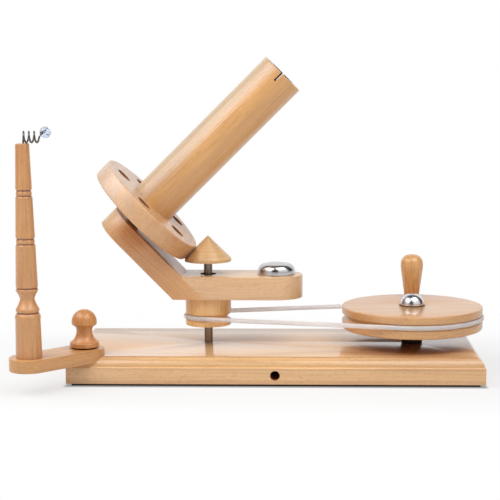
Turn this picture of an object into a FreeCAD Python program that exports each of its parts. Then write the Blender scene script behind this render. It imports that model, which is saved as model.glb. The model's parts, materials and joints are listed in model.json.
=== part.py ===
import FreeCAD, Part
import math
import os

# Yarn ball winder: a hand crank turns a grooved wheel, a round belt turns the winding head
# about a fixed shaft, and the head's disc rolls on a fixed cone, which spins the winding tube.
# Millimetres, +Z up. X runs along the base towards the crank wheel, the front is -Y, and the
# origin is on the underside of the pad, at its middle.

V = FreeCAD.Vector
UP = V(0, 0, 1)

# Base board, its moulded edge and the pad glued under it.
base_length = 430.0
base_width = 170.0
base_thickness = 27.5
ovolo_width = 6.4
ovolo_height = 9.0
edge_ledge = 1.2
edge_step = 1.2
pad_thickness = 3.0
pad_inset = 5.0
clamp_hole_diameter = 10.0
clamp_hole_depth = 60.0
clamp_hole_height = 9.0
counterbore_depth = 9.0

# Clearances between pieces.
running_gap = 0.05
fixing_gap = 0.04
face_gap = 0.3
belt_gap = 0.3
friction_gap = 0.3
tool_gap = 0.5

# Fixed shaft of the winding head, its retaining rings and the friction cone on top.
shaft_end_margin = 142.0
shaft_diameter = 9.0
ring_thickness = 1.0
ring_groove_depth = 0.5
ring_overlap = 2.5
ring_mouth = 5.0
thrust_thickness = 1.0
cone_lift = 14.0
cone_diameter = 50.0
cone_rim = 3.0
cone_tip_radius = 0.8
cone_bore_depth = 17.0

# Winding head: pulley, two boards, bushes, dowels and screws.
head_lift = 20.0
pulley_diameter = 49.0
pulley_height = 30.5
pulley_groove_opening = 7.5
pulley_groove_depth = 4.6
head_bush_diameter = 16.0
head_bush_length = 12.0
head_bush_recess = 4.0
arm_width = 58.0
arm_thickness = 24.0
arm_rounding = 1.2
dowel_diameter = 8.0
dowel_length = 30.0
dowel_spread = 38.0
pulley_screw_diameter = 4.0
pulley_screw_circle = 28.0
pulley_screw_grip = 10.0
counterweight_reach = 73.5
counterweight_margin = 27.5
counterweight_diameter = 40.0
counterweight_height = 13.0
counterweight_band = 4.5
counterweight_crown = 1.4
counterweight_screw_diameter = 6.0
counterweight_screw_grip = 8.0

# Spindle: friction disc, winding tube and the axle that carries them.
disc_diameter = 130.0
disc_thickness = 21.0
disc_rounding = 1.5
disc_below_cone = 3.0
disc_hole_diameter = 17.0
disc_hole_circle = 87.0
disc_hole_angles = (190.0, 262.0, 334.0, 46.0, 123.0)
spindle_gap = 9.0
spindle_margin = 25.0
spindle_tilt = 45.3
head_turn = -1.5
axle_diameter = 8.0
axle_head_diameter = 14.0
axle_head_height = 5.0
spindle_bush_diameter = 16.0
tube_diameter = 50.0
tube_bore = 30.0
tube_length = 195.0
tube_tenon_diameter = 44.0
tube_seat = 8.0
tube_rounding = 0.8
kerf_width = 1.5
kerf_depth = 10.5
kerf_turn = -0.7

# Crank wheel, its fixed axle and the crank handle.
wheel_end_margin = 69.0
wheel_diameter = 150.0
wheel_thickness = 23.5
wheel_lift = 17.0
wheel_rounding = 1.5
wheel_groove_opening = 7.8
wheel_groove_depth = 5.5
wheel_axle_diameter = 10.0
wheel_bush_diameter = 16.0
spacer_diameter = 22.0
axle_washer_diameter = 28.0
washer_thickness = 1.0
dome_diameter = 26.0
dome_height = 11.0
dome_bore_depth = 7.0
handle_circle = 110.0
handle_angle = 86.0
handle_height = 46.5
handle_foot_radius = 8.0
handle_top_radius = 12.4
handle_bulge_height = 35.0
handle_crown_radius = 5.5
handle_crown_drop = 0.8
handle_bolt_diameter = 6.0
handle_bolt_grip = 20.0
handle_insert_diameter = 9.0
handle_insert_length = 12.0
handle_washer_diameter = 15.0

# Belt.
belt_diameter = 4.8
belt_height = 29.0

# Yarn guide: swinging arm let into the base's corner, turned post, wire pigtail and bead.
pivot_inset = 17.5
guide_angle = 226.0
guide_swing = 46.0
guide_reach = 69.5
guide_arm_width = 40.5
guide_arm_thickness = 13.0
guide_arm_sunk = 6.0
guide_arm_rounding = 1.2
post_height = 214.0
post_foot_radius = 13.2
post_top_radius = 6.85
post_tenon_diameter = 14.0
post_tenon_length = 9.0
post_joint_heights = (117.0, 165.0)
post_joint_length = 11.0
post_bead_depth = 0.35
post_groove_depth = 1.2
vase_shoulder_height = 39.0
vase_shoulder_radius = 12.5
vase_foot_height = 45.6
vase_bead_height = 4.8
vase_bead_radius = 11.8
vase_waist_height = 59.5
vase_waist_radius = 7.2
vase_lip_height = 68.0
vase_lip_length = 4.5
wire_diameter = 1.8
coil_radius = 5.3
coil_pitch = 5.2
coil_turns = 3
coil_lift = 0.3
wire_leg_depth = 14.0
wire_bend_radius = 2.0
wire_last_rise = 1.6
bead_diameter = 11.3
bead_grip = 0.2

# Clamp knob, its bolt and washer.
knob_foot_radius = 15.5
knob_foot_height = 4.6
knob_neck_radius = 8.25
knob_neck_height = 16.0
knob_collar_radius = 12.2
knob_collar_height = 22.6
knob_ball_radius = 13.1
knob_height = 38.8
clamp_bolt_diameter = 8.0
clamp_bolt_grip = 20.0
clamp_insert_diameter = 12.0
clamp_insert_length = 14.0
clamp_washer_diameter = 24.0
clamp_washer_thickness = 1.2

# Levels and stations that follow from the dimensions above.
shaft_x = shaft_end_margin - base_length / 2
wheel_x = base_length / 2 - wheel_end_margin
base_bottom = pad_thickness
base_top = base_bottom + base_thickness
pulley_bottom = base_top + head_lift
arm_bottom = pulley_bottom + pulley_height
arm_top = arm_bottom + arm_thickness
cone_bottom = arm_top + cone_lift
belt_z = base_top + belt_height
wheel_bottom = base_top + wheel_lift
wheel_top = wheel_bottom + wheel_thickness
guide_bottom = base_top - guide_arm_sunk
guide_top = guide_bottom + guide_arm_thickness
knob_bottom = guide_top + clamp_washer_thickness + face_gap
wheel_axis = V(wheel_x, 0, 0)
shaft_axis = V(shaft_x, 0, 0)
pivot = V(-base_length / 2 + pivot_inset, -base_width / 2 + pivot_inset, 0)


def heading(degrees):
    """Unit vector in plan, at an angle from +X."""
    turn = math.radians(degrees)
    return V(math.cos(turn), math.sin(turn), 0)


post_axis = pivot + heading(guide_angle) * guide_reach

# The spindle leans over the shaft. Its axis stands off the cone's flank by the disc's radius,
# and the disc starts a little below the cone's rim, measured along that axis.
tilt = math.radians(spindle_tilt)
spindle_dir = V(math.sin(tilt), 0, math.cos(tilt))
across_dir = V(math.cos(tilt), 0, -math.sin(tilt))
cone_edge = V(shaft_x - cone_diameter / 2, 0, cone_bottom + cone_rim)
disc_foot = (cone_edge - across_dir * (disc_diameter / 2 + friction_gap)
             - spindle_dir * disc_below_cone)
board_top = disc_foot - spindle_dir * spindle_gap


def cylinder(diameter, height, foot, direction=UP):
    return Part.makeCylinder(diameter / 2, height, foot, direction)


def tube(outer, inner, height, foot, direction=UP):
    """Plain ring or sleeve."""
    return cylinder(outer, height, foot, direction).cut(cylinder(inner, height, foot, direction))


def outward(solid):
    """The same solid, with its faces pointing out."""
    if solid.Volume < 0:
        solid.reverse()
    return solid


def outline(start, steps):
    """Edges through radius and height pairs. A step of four numbers is an arc: via, then end."""
    edges = []
    here = V(start[0], 0, start[1])
    for step in steps:
        there = V(step[-2], 0, step[-1])
        if len(step) == 4:
            via = V(step[0], 0, step[1])
            edges.append(Part.Arc(here, via, there).toShape())
        else:
            edges.append(Part.LineSegment(here, there).toShape())
        here = there
    return edges


def turned(start, steps):
    """Solid of revolution about Z. The outline closes back to its start."""
    edges = outline(start, list(steps) + [start])
    return outward(Part.Face(Part.Wire(edges)).revolve(V(0, 0, 0), UP, 360))


def stand(shape, foot, direction=UP):
    """Stand a shape that was made on Z at a foot, along a direction."""
    shape.Placement = FreeCAD.Placement(foot, FreeCAD.Rotation(UP, direction))
    return shape


def corner(radius, height, rounding, outer, upper):
    """Step for a quarter round between a flat face and a side, met on the way up or down."""
    out = 1 if outer else -1
    rise = 1 if upper else -1
    flat = (radius - out * rounding, height)
    side = (radius, height - rise * rounding)
    slack = rounding * (1 - math.sqrt(0.5))
    via = (radius - out * slack, height - rise * slack)
    return flat, via, side


def cap(radius, low, high):
    """Step over a round crown, from a radius at one height to the axis at a higher one."""
    rise = high - low
    ball = (radius ** 2 + rise ** 2) / (2 * rise)
    half = math.atan2(radius, ball - rise) / 2
    return ball * math.sin(half), high - ball * (1 - math.cos(half)), 0, high


def hex_prism(across_flats, height, foot, direction=UP):
    radius = across_flats / math.sqrt(3)
    points = [heading(60 * i) * radius for i in range(7)]
    face = Part.Face(Part.makePolygon(points))
    return stand(face.extrude(UP * height), foot, direction)


def nut(across_flats, bore, height, foot, direction=UP):
    return hex_prism(across_flats, height, foot, direction).cut(
        cylinder(bore, height, foot, direction))


def pan_screw(shank, grip, head, head_height, foot, direction):
    """Screw with its head's outer face at the foot, pointing along a direction."""
    head_solid = cylinder(head, head_height, foot, direction)
    return head_solid.fuse(cylinder(shank, grip, foot, direction)).removeSplitter()


def flat_screw(shank, length, foot, direction):
    """Countersunk screw with its head flush at the foot."""
    sink = shank / 2
    cone = Part.makeCone(shank, shank / 2, sink, foot, direction)
    return cone.fuse(cylinder(shank, length, foot, direction)).removeSplitter()


def stadium(centre, direction, reach, width, bottom, thickness):
    """Bar with round ends, from a centre to a reach along a direction."""
    side = UP.cross(direction) * (width / 2)
    near = V(centre.x, centre.y, bottom)
    far = near + direction * reach
    back = near - direction * (width / 2)
    front = far + direction * (width / 2)
    edges = [
        Part.LineSegment(near - side, far - side).toShape(),
        Part.Arc(far - side, front, far + side).toShape(),
        Part.LineSegment(far + side, near + side).toShape(),
        Part.Arc(near + side, back, near - side).toShape(),
    ]
    return outward(Part.Face(Part.Wire(edges)).extrude(UP * thickness))


def moulded_bar(span, length):
    """Bar along Y with the moulded section, span wide in X."""
    half = span / 2
    face_top = base_top - edge_step - ovolo_height
    foot = half - edge_ledge
    round_radius = (ovolo_width ** 2 + ovolo_height ** 2) / (2 * ovolo_width)
    middle = math.atan2(ovolo_height, round_radius - ovolo_width) / 2
    via = (foot - round_radius * (1 - math.cos(middle)), face_top + round_radius * math.sin(middle))
    inner = foot - ovolo_width
    step_foot = base_top - edge_step
    right = [
        (half, face_top),
        (foot, face_top),
        (via[0], via[1], inner, step_foot),
        (inner, base_top),
    ]
    left = [
        (-inner, base_top),
        (-inner, step_foot),
        (-via[0], via[1], -foot, face_top),
        (-half, face_top),
        (-half, base_bottom),
    ]
    edges = outline((half, base_bottom), right + left + [(half, base_bottom)])
    bar = Part.Face(Part.Wire(edges)).extrude(V(0, length, 0))
    bar.translate(V(0, -length / 2, 0))
    return outward(bar)


def base_board():
    lengthwise = moulded_bar(base_width, base_length)
    lengthwise.rotate(V(0, 0, 0), UP, 90)
    board = lengthwise.common(moulded_bar(base_length, base_width))
    pocket_width = guide_arm_width + 2 * face_gap
    floor = guide_bottom - face_gap
    for angle in (guide_angle, guide_angle - guide_swing):
        pocket = stadium(pivot, heading(angle), guide_reach, pocket_width, floor, base_thickness)
        board = board.cut(pocket)
    clamp_mouth = V(0, -base_width / 2, base_bottom + clamp_hole_height)
    board = board.cut(cylinder(clamp_hole_diameter, clamp_hole_depth, clamp_mouth, V(0, 1, 0)))
    for axis, diameter in ((shaft_axis, shaft_diameter), (wheel_axis, wheel_axle_diameter)):
        foot = axis + UP * base_bottom
        board = board.cut(cylinder(diameter + 2 * fixing_gap, base_thickness, foot))
        board = board.cut(cylinder(2.4 * diameter, counterbore_depth, foot))
    insert_foot = pivot + UP * (floor - clamp_insert_length)
    return board.cut(cylinder(clamp_insert_diameter, clamp_insert_length, insert_foot))


def base_pad():
    length = base_length - 2 * pad_inset
    width = base_width - 2 * pad_inset
    return Part.makeBox(length, width, pad_thickness, V(-length / 2, -width / 2, 0))


def clamp_insert():
    foot = pivot + UP * (guide_bottom - face_gap - clamp_insert_length)
    bore = clamp_bolt_diameter + 2 * running_gap
    return tube(clamp_insert_diameter, bore, clamp_insert_length, foot)


def lower_ring_z():
    """Underside of the ring that carries the head's weight."""
    return pulley_bottom + head_bush_recess - face_gap - thrust_thickness - ring_thickness


def upper_ring_z():
    return arm_top - head_bush_recess + face_gap


def head_shaft():
    foot = base_bottom + 1
    top = cone_bottom + cone_bore_depth
    shaft = cylinder(shaft_diameter, top - foot, V(shaft_x, 0, foot))
    for z in (lower_ring_z(), upper_ring_z()):
        groove = tube(2 * shaft_diameter, shaft_diameter - 2 * ring_groove_depth,
                      ring_thickness, V(shaft_x, 0, z))
        shaft = shaft.cut(groove)
    return shaft


def shaft_rings():
    """Two open retaining rings, snapped into the shaft's grooves."""
    outer = shaft_diameter + 2 * ring_overlap
    inner = shaft_diameter - 2 * ring_groove_depth
    rings = []
    for z in (lower_ring_z(), upper_ring_z()):
        ring = tube(outer, inner, ring_thickness, V(shaft_x, 0, z))
        mouth_corner = V(shaft_x, -ring_mouth / 2, z)
        mouth = Part.makeBox(outer, ring_mouth, ring_thickness, mouth_corner)
        rings.append(ring.cut(mouth))
    return Part.makeCompound(rings)


def thrust_washer():
    outer = shaft_diameter + 2 * ring_overlap
    foot = V(shaft_x, 0, lower_ring_z() + ring_thickness)
    return tube(outer, shaft_diameter, thrust_thickness, foot)


def foot_nuts():
    """Nuts in the base's counterbores that hold the shaft and the wheel's axle."""
    nuts = []
    for axis, diameter in ((shaft_axis, shaft_diameter), (wheel_axis, wheel_axle_diameter)):
        height = 0.7 * diameter
        foot = axis + UP * (base_bottom + counterbore_depth - height)
        nuts.append(nut(1.6 * diameter, diameter, height, foot))
    return Part.makeCompound(nuts)


def friction_cone():
    """Turned cone with a short rim, on the end of the fixed shaft."""
    radius = cone_diameter / 2
    slope = math.tan(tilt)
    tip = cone_tip_radius * math.cos(tilt)
    tip_base = cone_rim + (radius - tip) / slope
    apex = tip_base + cone_tip_radius * (1 - math.sin(tilt))
    cone = turned((0, 0), [
        (radius, 0),
        (radius, cone_rim),
        (tip, tip_base),
        cap(tip, tip_base, apex),
    ])
    bore = shaft_diameter + 2 * fixing_gap
    cone = cone.cut(cylinder(bore, cone_bore_depth, V(0, 0, 0)))
    return stand(cone, V(shaft_x, 0, cone_bottom))


def grooved_wheel(diameter, height, groove_height, opening, depth, rounding, bore):
    """Turned wheel with a V groove round its rim and a plain bore, its foot at zero."""
    radius = diameter / 2
    low_flat, low_via, low_side = corner(radius, 0, rounding, True, False)
    high_flat, high_via, high_side = corner(radius, height, rounding, True, True)
    return turned((bore / 2, 0), [
        low_flat,
        low_via + low_side,
        (radius, groove_height - opening / 2),
        (radius - depth, groove_height),
        (radius, groove_height + opening / 2),
        high_side,
        high_via + high_flat,
        (bore / 2, height),
    ])


def drive_pulley():
    pulley = grooved_wheel(pulley_diameter, pulley_height, belt_z - pulley_bottom,
                           pulley_groove_opening, pulley_groove_depth, 0.6,
                           head_bush_diameter)
    stand(pulley, V(shaft_x, 0, pulley_bottom))
    return pulley.cut(pulley_screws())


def pulley_screws():
    """Two countersunk screws up through the pulley, one into each board of the head."""
    screws = []
    for angle in (0, 180):
        foot = shaft_axis + heading(angle) * (pulley_screw_circle / 2) + UP * pulley_bottom
        length = pulley_height + pulley_screw_grip
        screws.append(flat_screw(pulley_screw_diameter, length, foot, UP))
    return Part.makeCompound(screws)


def head_bush(foot_z):
    bore = shaft_diameter + 2 * running_gap
    return tube(head_bush_diameter, bore, head_bush_length, V(shaft_x, 0, foot_z))


def head_bush_lower():
    return head_bush(pulley_bottom + head_bush_recess)


def head_bush_upper():
    return head_bush(arm_top - head_bush_recess - head_bush_length)


def joint_plane_side(upper):
    """Big block on one side of the glue joint, which is the tilted board's upper face."""
    reach = 4 * (tube_length + disc_diameter)
    block = Part.makeBox(reach, reach, reach, V(-reach / 2, -reach / 2, 0 if upper else -reach))
    return stand(block, board_top, spindle_dir)


def head_bore():
    return cylinder(head_bush_diameter, arm_thickness, V(shaft_x, 0, arm_bottom))


def arm_dowels():
    """Two dowels across the glue joint, one on each side of the shaft."""
    middle_z = arm_bottom + arm_thickness / 2
    along = (board_top.dot(spindle_dir) - middle_z * spindle_dir.z) / spindle_dir.x
    dowels = []
    for side in (-1, 1):
        centre = V(along, side * dowel_spread / 2, middle_z)
        foot = centre - spindle_dir * (dowel_length / 2)
        dowels.append(cylinder(dowel_diameter, dowel_length, foot, spindle_dir))
    return Part.makeCompound(dowels)


def counterweight_axis():
    return V(shaft_x + counterweight_reach, 0, 0)


def soften(solid, size, plane_a, plane_b):
    """Round the edges of a board that lie in either of its two broad faces."""
    edges = []
    for edge in solid.Edges:
        for point, normal in (plane_a, plane_b):
            ends = [vertex.Point for vertex in edge.Vertexes]
            ends.append(edge.valueAt((edge.FirstParameter + edge.LastParameter) / 2))
            if all(abs((end - point).dot(normal)) < 0.01 for end in ends):
                edges.append(edge)
    return solid.makeFillet(size, edges)


def arm_beam():
    """Level board of the head, with a round end under the counterweight."""
    start = shaft_axis - V(arm_width * 2, 0, 0)
    reach = counterweight_reach + counterweight_margin - arm_width / 2 + arm_width * 2
    board = stadium(start, V(1, 0, 0), reach, arm_width, arm_bottom, arm_thickness)
    board = soften(board, arm_rounding, (V(0, 0, arm_top), UP), (V(0, 0, arm_bottom), UP))
    board = board.common(joint_plane_side(True))
    screw_foot = counterweight_axis() + UP * arm_bottom
    head_width = 2 * counterweight_screw_diameter
    for cutter in (head_bore(), arm_dowels(), pulley_screws(),
                   cylinder(counterweight_screw_diameter, arm_thickness, screw_foot),
                   cylinder(head_width, counterweight_screw_diameter, screw_foot)):
        board = board.cut(cutter)
    return board


def spindle_arm():
    """Tilted board of the head, with a round end under the spindle, cut off level below."""
    top_centre = board_top + across_dir * (arm_width / 2 - spindle_margin)
    reach = 2 * (top_centre.z - arm_bottom)
    board = stadium(V(0, 0, 0), V(1, 0, 0), reach, arm_width, -arm_thickness, arm_thickness)
    board = soften(board, arm_rounding, (V(0, 0, 0), UP), (V(0, 0, -arm_thickness), UP))
    stand(board, top_centre, spindle_dir)
    size = 2 * reach
    below = Part.makeBox(2 * size, size, size, V(top_centre.x - size, -size / 2, arm_bottom - size))
    board = board.cut(below)
    board = board.common(joint_plane_side(False))
    foot = board_top - spindle_dir * arm_thickness
    for cutter in (head_bore(), arm_dowels(), pulley_screws(),
                   cylinder(axle_diameter, arm_thickness, foot, spindle_dir),
                   cylinder(axle_head_diameter, axle_head_height, foot, spindle_dir)):
        board = board.cut(cutter)
    return board


def counterweight():
    """Polished steel weight with a straight band and a low crown."""
    radius = counterweight_diameter / 2
    shoulder = counterweight_height - counterweight_crown
    rise = shoulder - counterweight_band
    run = rise * 1.15
    slack = 1 - math.sqrt(0.5)
    weight = turned((0, 0), [
        (radius - 0.4, 0),
        (radius, 0.4),
        (radius, counterweight_band),
        (radius - run * slack, shoulder - rise * slack, radius - run, shoulder),
        cap(radius - run, shoulder, counterweight_height),
    ])
    bore = counterweight_screw_diameter + 2 * fixing_gap
    weight = weight.cut(cylinder(bore, counterweight_screw_grip, V(0, 0, 0)))
    return stand(weight, counterweight_axis() + UP * arm_top)


def counterweight_screw():
    head = 10 / 6 * counterweight_screw_diameter
    head_height = 0.6 * counterweight_screw_diameter
    sunk = counterweight_screw_diameter - head_height
    foot = counterweight_axis() + UP * (arm_bottom + sunk)
    grip = arm_thickness - sunk + counterweight_screw_grip
    return pan_screw(counterweight_screw_diameter, grip, head, head_height, foot, UP)


def disc_web_top():
    """Bottom of the tube's seat in the disc, on the spindle axis."""
    return disc_foot + spindle_dir * (disc_thickness - tube_seat)


def spindle_axle():
    """Bolt through the tilted board, with its head let into the underside."""
    foot = board_top - spindle_dir * arm_thickness
    web = disc_thickness - tube_seat
    grip = (arm_thickness + spindle_gap + web + face_gap + washer_thickness
            + 1.25 * axle_diameter)
    head = axle_head_diameter - 2 * tool_gap
    head_height = axle_head_height - 0.5
    lift = spindle_dir * 0.5
    return pan_screw(axle_diameter, grip - 0.5, head, head_height, foot + lift, spindle_dir)


def spindle_spacer():
    """Dark sleeve that holds the disc off the tilted board."""
    return tube(2 * axle_diameter, axle_diameter, spindle_gap - face_gap, board_top, spindle_dir)


def spindle_washer():
    foot = disc_web_top() + spindle_dir * face_gap
    return tube(2.75 * axle_diameter, axle_diameter, washer_thickness, foot, spindle_dir)


def spindle_nut():
    foot = disc_web_top() + spindle_dir * (face_gap + washer_thickness)
    return nut(1.625 * axle_diameter, axle_diameter, 0.9 * axle_diameter, foot, spindle_dir)


def spindle_bush():
    bore = axle_diameter + 2 * running_gap
    return tube(spindle_bush_diameter, bore, disc_thickness - tube_seat, disc_foot, spindle_dir)


def friction_disc():
    """Disc that rolls on the cone, with a seat for the tube and a ring of holes."""
    radius = disc_diameter / 2
    low_flat, low_via, low_side = corner(radius, 0, disc_rounding, True, False)
    high_flat, high_via, high_side = corner(radius, disc_thickness, disc_rounding, True, True)
    web = disc_thickness - tube_seat
    seat_radius = tube_tenon_diameter / 2 + fixing_gap
    disc = turned((spindle_bush_diameter / 2, 0), [
        low_flat,
        low_via + low_side,
        high_side,
        high_via + high_flat,
        (seat_radius, disc_thickness),
        (seat_radius, web),
        (spindle_bush_diameter / 2, web),
    ])
    for angle in disc_hole_angles:
        foot = heading(angle) * (disc_hole_circle / 2)
        disc = disc.cut(cylinder(disc_hole_diameter, disc_thickness, foot))
    return stand(disc, disc_foot, spindle_dir)


def winding_tube():
    """Tube that takes the yarn: a tenon in the disc, and one saw kerf across its free end."""
    outer = tube_diameter / 2
    inner = tube_bore / 2
    length = tube_length + tube_seat
    out_flat, out_via, out_side = corner(outer, length, tube_rounding, True, True)
    in_flat, in_via, in_side = corner(inner, length, tube_rounding, False, True)
    shell = turned((inner, 0), [
        (tube_tenon_diameter / 2, 0),
        (tube_tenon_diameter / 2, tube_seat),
        (outer, tube_seat),
        out_side,
        out_via + out_flat,
        in_flat,
        in_via + in_side,
    ])
    kerf = Part.makeBox(kerf_width, 2 * tube_diameter, kerf_depth,
                        V(-kerf_width / 2, -tube_diameter, length - kerf_depth))
    kerf.rotate(V(0, 0, 0), UP, kerf_turn)
    return stand(shell.cut(kerf), disc_web_top(), spindle_dir)


def drive_belt():
    """Round belt, open run, in the grooves of the pulley and the wheel."""
    half = belt_diameter / 2 + belt_gap
    small = pulley_diameter / 2 - pulley_groove_depth + half / math.sin(
        math.atan2(pulley_groove_opening / 2, pulley_groove_depth))
    large = wheel_diameter / 2 - wheel_groove_depth + half / math.sin(
        math.atan2(wheel_groove_opening / 2, wheel_groove_depth))
    lean = math.degrees(math.asin((large - small) / (wheel_x - shaft_x)))
    near = V(shaft_x, 0, belt_z)
    far = V(wheel_x, 0, belt_z)
    front = heading(-90 - lean)
    back = heading(90 + lean)
    path = Part.Wire([
        Part.LineSegment(near + front * small, far + front * large).toShape(),
        Part.Arc(far + front * large, far + V(large, 0, 0), far + back * large).toShape(),
        Part.LineSegment(far + back * large, near + back * small).toShape(),
        Part.Arc(near + back * small, near - V(small, 0, 0), near + front * small).toShape(),
    ])
    along = UP.cross(front)
    circle = Part.Wire(Part.makeCircle(belt_diameter / 2, near + front * small, along))
    belt = outward(path.makePipeShell([circle], True, False))
    print("belt length", round(path.Length, 1))
    print("belt radius on the pulley", round(small, 3), "and on the wheel", round(large, 3))
    return belt


def wheel_axle():
    foot = base_bottom + 1
    top = dome_foot_z() + dome_bore_depth
    return cylinder(wheel_axle_diameter, top - foot, V(wheel_x, 0, foot))


def dome_foot_z():
    return wheel_top + face_gap + washer_thickness


def wheel_spacer():
    height = wheel_lift - face_gap - washer_thickness
    bore = wheel_axle_diameter + 2 * fixing_gap
    return tube(spacer_diameter, bore, height, wheel_axis + UP * base_top)


def axle_washers():
    """Washers under and over the wheel's hub."""
    low = wheel_axis + UP * (wheel_bottom - face_gap - washer_thickness)
    high = wheel_axis + UP * (wheel_top + face_gap)
    return Part.makeCompound([
        tube(spacer_diameter, wheel_axle_diameter, washer_thickness, low),
        tube(axle_washer_diameter, wheel_axle_diameter, washer_thickness, high),
    ])


def dome_nut():
    """Polished domed nut on the wheel's axle."""
    radius = dome_diameter / 2
    nut_solid = turned((0, 0), [
        (radius - 0.5, 0),
        (radius, 0.5),
        cap(radius, 0.5, dome_height),
    ])
    bore = wheel_axle_diameter + 2 * fixing_gap
    nut_solid = nut_solid.cut(cylinder(bore, dome_bore_depth, V(0, 0, 0)))
    return stand(nut_solid, wheel_axis + UP * dome_foot_z())


def handle_axis():
    return wheel_axis + heading(handle_angle) * (handle_circle / 2)


def drive_wheel():
    wheel = grooved_wheel(wheel_diameter, wheel_thickness, belt_z - wheel_bottom,
                          wheel_groove_opening, wheel_groove_depth, wheel_rounding,
                          wheel_bush_diameter)
    stand(wheel, wheel_axis + UP * wheel_bottom)
    foot = handle_axis() + UP * wheel_bottom
    bore = handle_bolt_diameter + 2 * running_gap
    wheel = wheel.cut(cylinder(bore, wheel_thickness, foot))
    sink = 2 * handle_bolt_diameter
    return wheel.cut(cylinder(sink, handle_bolt_diameter, foot))


def wheel_bush():
    bore = wheel_axle_diameter + 2 * running_gap
    return tube(wheel_bush_diameter, bore, wheel_thickness, wheel_axis + UP * wheel_bottom)


def handle_foot_z():
    return wheel_top + washer_thickness + face_gap


def handle_washer():
    bore = handle_bolt_diameter + 2 * running_gap
    return tube(handle_washer_diameter, bore, washer_thickness, handle_axis() + UP * wheel_top)


def crank_handle():
    """Pear-shaped grip, widest near its top."""
    bulge = handle_bulge_height
    crown = handle_height - handle_crown_drop
    side_height = bulge - 5
    side_radius = handle_top_radius - 0.35
    grip = turned((0, 0), [
        (handle_foot_radius - 0.5, 0),
        (handle_foot_radius, 0.5),
        (side_radius, side_height),
        (handle_top_radius, bulge - 1, handle_top_radius - 0.25, bulge + 2.5),
        (handle_top_radius - 2.3, bulge + 7.6, handle_crown_radius, crown),
        cap(handle_crown_radius, crown, handle_height),
    ])
    bore = handle_bolt_diameter + 2 * fixing_gap
    grip = grip.cut(cylinder(bore, handle_bolt_grip, V(0, 0, 0)))
    grip = grip.cut(cylinder(handle_insert_diameter, handle_insert_length, V(0, 0, 0)))
    return stand(grip, handle_axis() + UP * handle_foot_z())


def handle_insert():
    foot = handle_axis() + UP * handle_foot_z()
    return tube(handle_insert_diameter, handle_bolt_diameter, handle_insert_length, foot)


def handle_bolt():
    """Bolt up through the wheel into the grip. It turns with the grip."""
    head_height = 0.6 * handle_bolt_diameter
    foot_z = wheel_bottom + handle_bolt_diameter - face_gap - head_height
    foot = handle_axis() + UP * foot_z
    grip = handle_foot_z() + handle_bolt_grip - foot_z
    head = 10 / 6 * handle_bolt_diameter
    return pan_screw(handle_bolt_diameter, grip, head, head_height, foot, UP)


def guide_arm():
    """Flat arm with round ends, let into the base's corner, that carries the guide post."""
    arm = stadium(pivot, heading(guide_angle), guide_reach, guide_arm_width,
                  guide_bottom, guide_arm_thickness)
    arm = soften(arm, guide_arm_rounding, (V(0, 0, guide_bottom), UP), (V(0, 0, guide_top), UP))
    bolt_bore = clamp_bolt_diameter + 2 * running_gap
    arm = arm.cut(cylinder(bolt_bore, guide_arm_thickness, pivot + UP * guide_bottom))
    tenon_foot = post_axis + UP * (guide_top - post_tenon_length)
    tenon_bore = post_tenon_diameter + 2 * fixing_gap
    arm = arm.cut(cylinder(tenon_bore, post_tenon_length, tenon_foot))
    return arm.cut(post_screw())


def post_screw():
    """Countersunk screw up through the arm into the post."""
    length = 2.5 * guide_arm_thickness
    return flat_screw(pulley_screw_diameter, length, post_axis + UP * guide_bottom, UP)


def post_radius(height):
    """Straight taper from the post's foot to its top."""
    return post_foot_radius + (post_top_radius - post_foot_radius) * height / post_height


def bead_joint(height):
    """Turned bead between two grooves, centred at a height of the post."""
    low = height - post_joint_length / 2
    high = height + post_joint_length / 2
    groove_low = height - post_joint_length * 0.24
    groove_high = height + post_joint_length * 0.24
    low_radius = post_radius(low)
    high_radius = post_radius(high)
    middle_radius = post_radius(height) - post_bead_depth
    cut = post_groove_depth
    return [
        (low_radius, low),
        (low_radius - 0.25 * cut, (2 * groove_low + low) / 3, low_radius - cut, groove_low),
        (middle_radius, height, high_radius - cut, groove_high),
        (high_radius - 0.25 * cut, (2 * groove_high + high) / 3, high_radius, high),
    ]


def guide_post():
    """Turned post: a plain foot, a vase, and three tapered lengths parted by beads."""
    cut = post_groove_depth
    bead_low = vase_foot_height
    bead_high = bead_low + vase_bead_height
    bead_radius = vase_bead_radius
    waist = vase_waist_height
    waist_radius = vase_waist_radius
    lip = vase_lip_height
    lip_end = lip + vase_lip_length
    steps = [
        (post_foot_radius, 0),
        (vase_shoulder_radius, vase_shoulder_height),
        (bead_radius, bead_low - cut, bead_radius - cut, bead_low),
        (bead_radius, (bead_low + bead_high) / 2, bead_radius - cut / 2, bead_high),
        (0.42 * bead_radius + 0.58 * waist_radius, 0.6 * bead_high + 0.4 * waist,
         waist_radius, waist),
        (0.7 * waist_radius + 0.3 * bead_radius, 0.55 * waist + 0.45 * lip,
         post_radius(lip) - cut / 2, lip - cut),
        (post_radius(lip), lip, post_radius(lip) - cut, (lip + lip_end) / 2),
        (post_radius(lip_end) - cut / 4, lip_end - cut, post_radius(lip_end), lip_end),
    ]
    for height in post_joint_heights:
        steps += bead_joint(height)
    steps += [
        (post_top_radius, post_height - 0.8),
        (post_top_radius - 0.8, post_height),
        (0, post_height),
    ]
    post = turned((0, 0), steps)
    stand(post, post_axis + UP * guide_top)
    tenon_foot = post_axis + UP * (guide_top - post_tenon_length)
    post = post.fuse(cylinder(post_tenon_diameter, post_tenon_length, tenon_foot))
    post = post.removeSplitter().cut(post_screw())
    leg_foot, _, _ = wire_leg()
    return post.cut(cylinder(wire_diameter + 2 * fixing_gap, wire_leg_depth, leg_foot))


def coil_height():
    """Height of the coil's axis above the post's top."""
    return coil_radius + wire_diameter / 2 + coil_lift


def coil_start():
    """Point where the coil begins, level with its axis and behind it."""
    top = guide_top + post_height
    return post_axis + V(0, coil_radius, top + coil_height())


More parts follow.
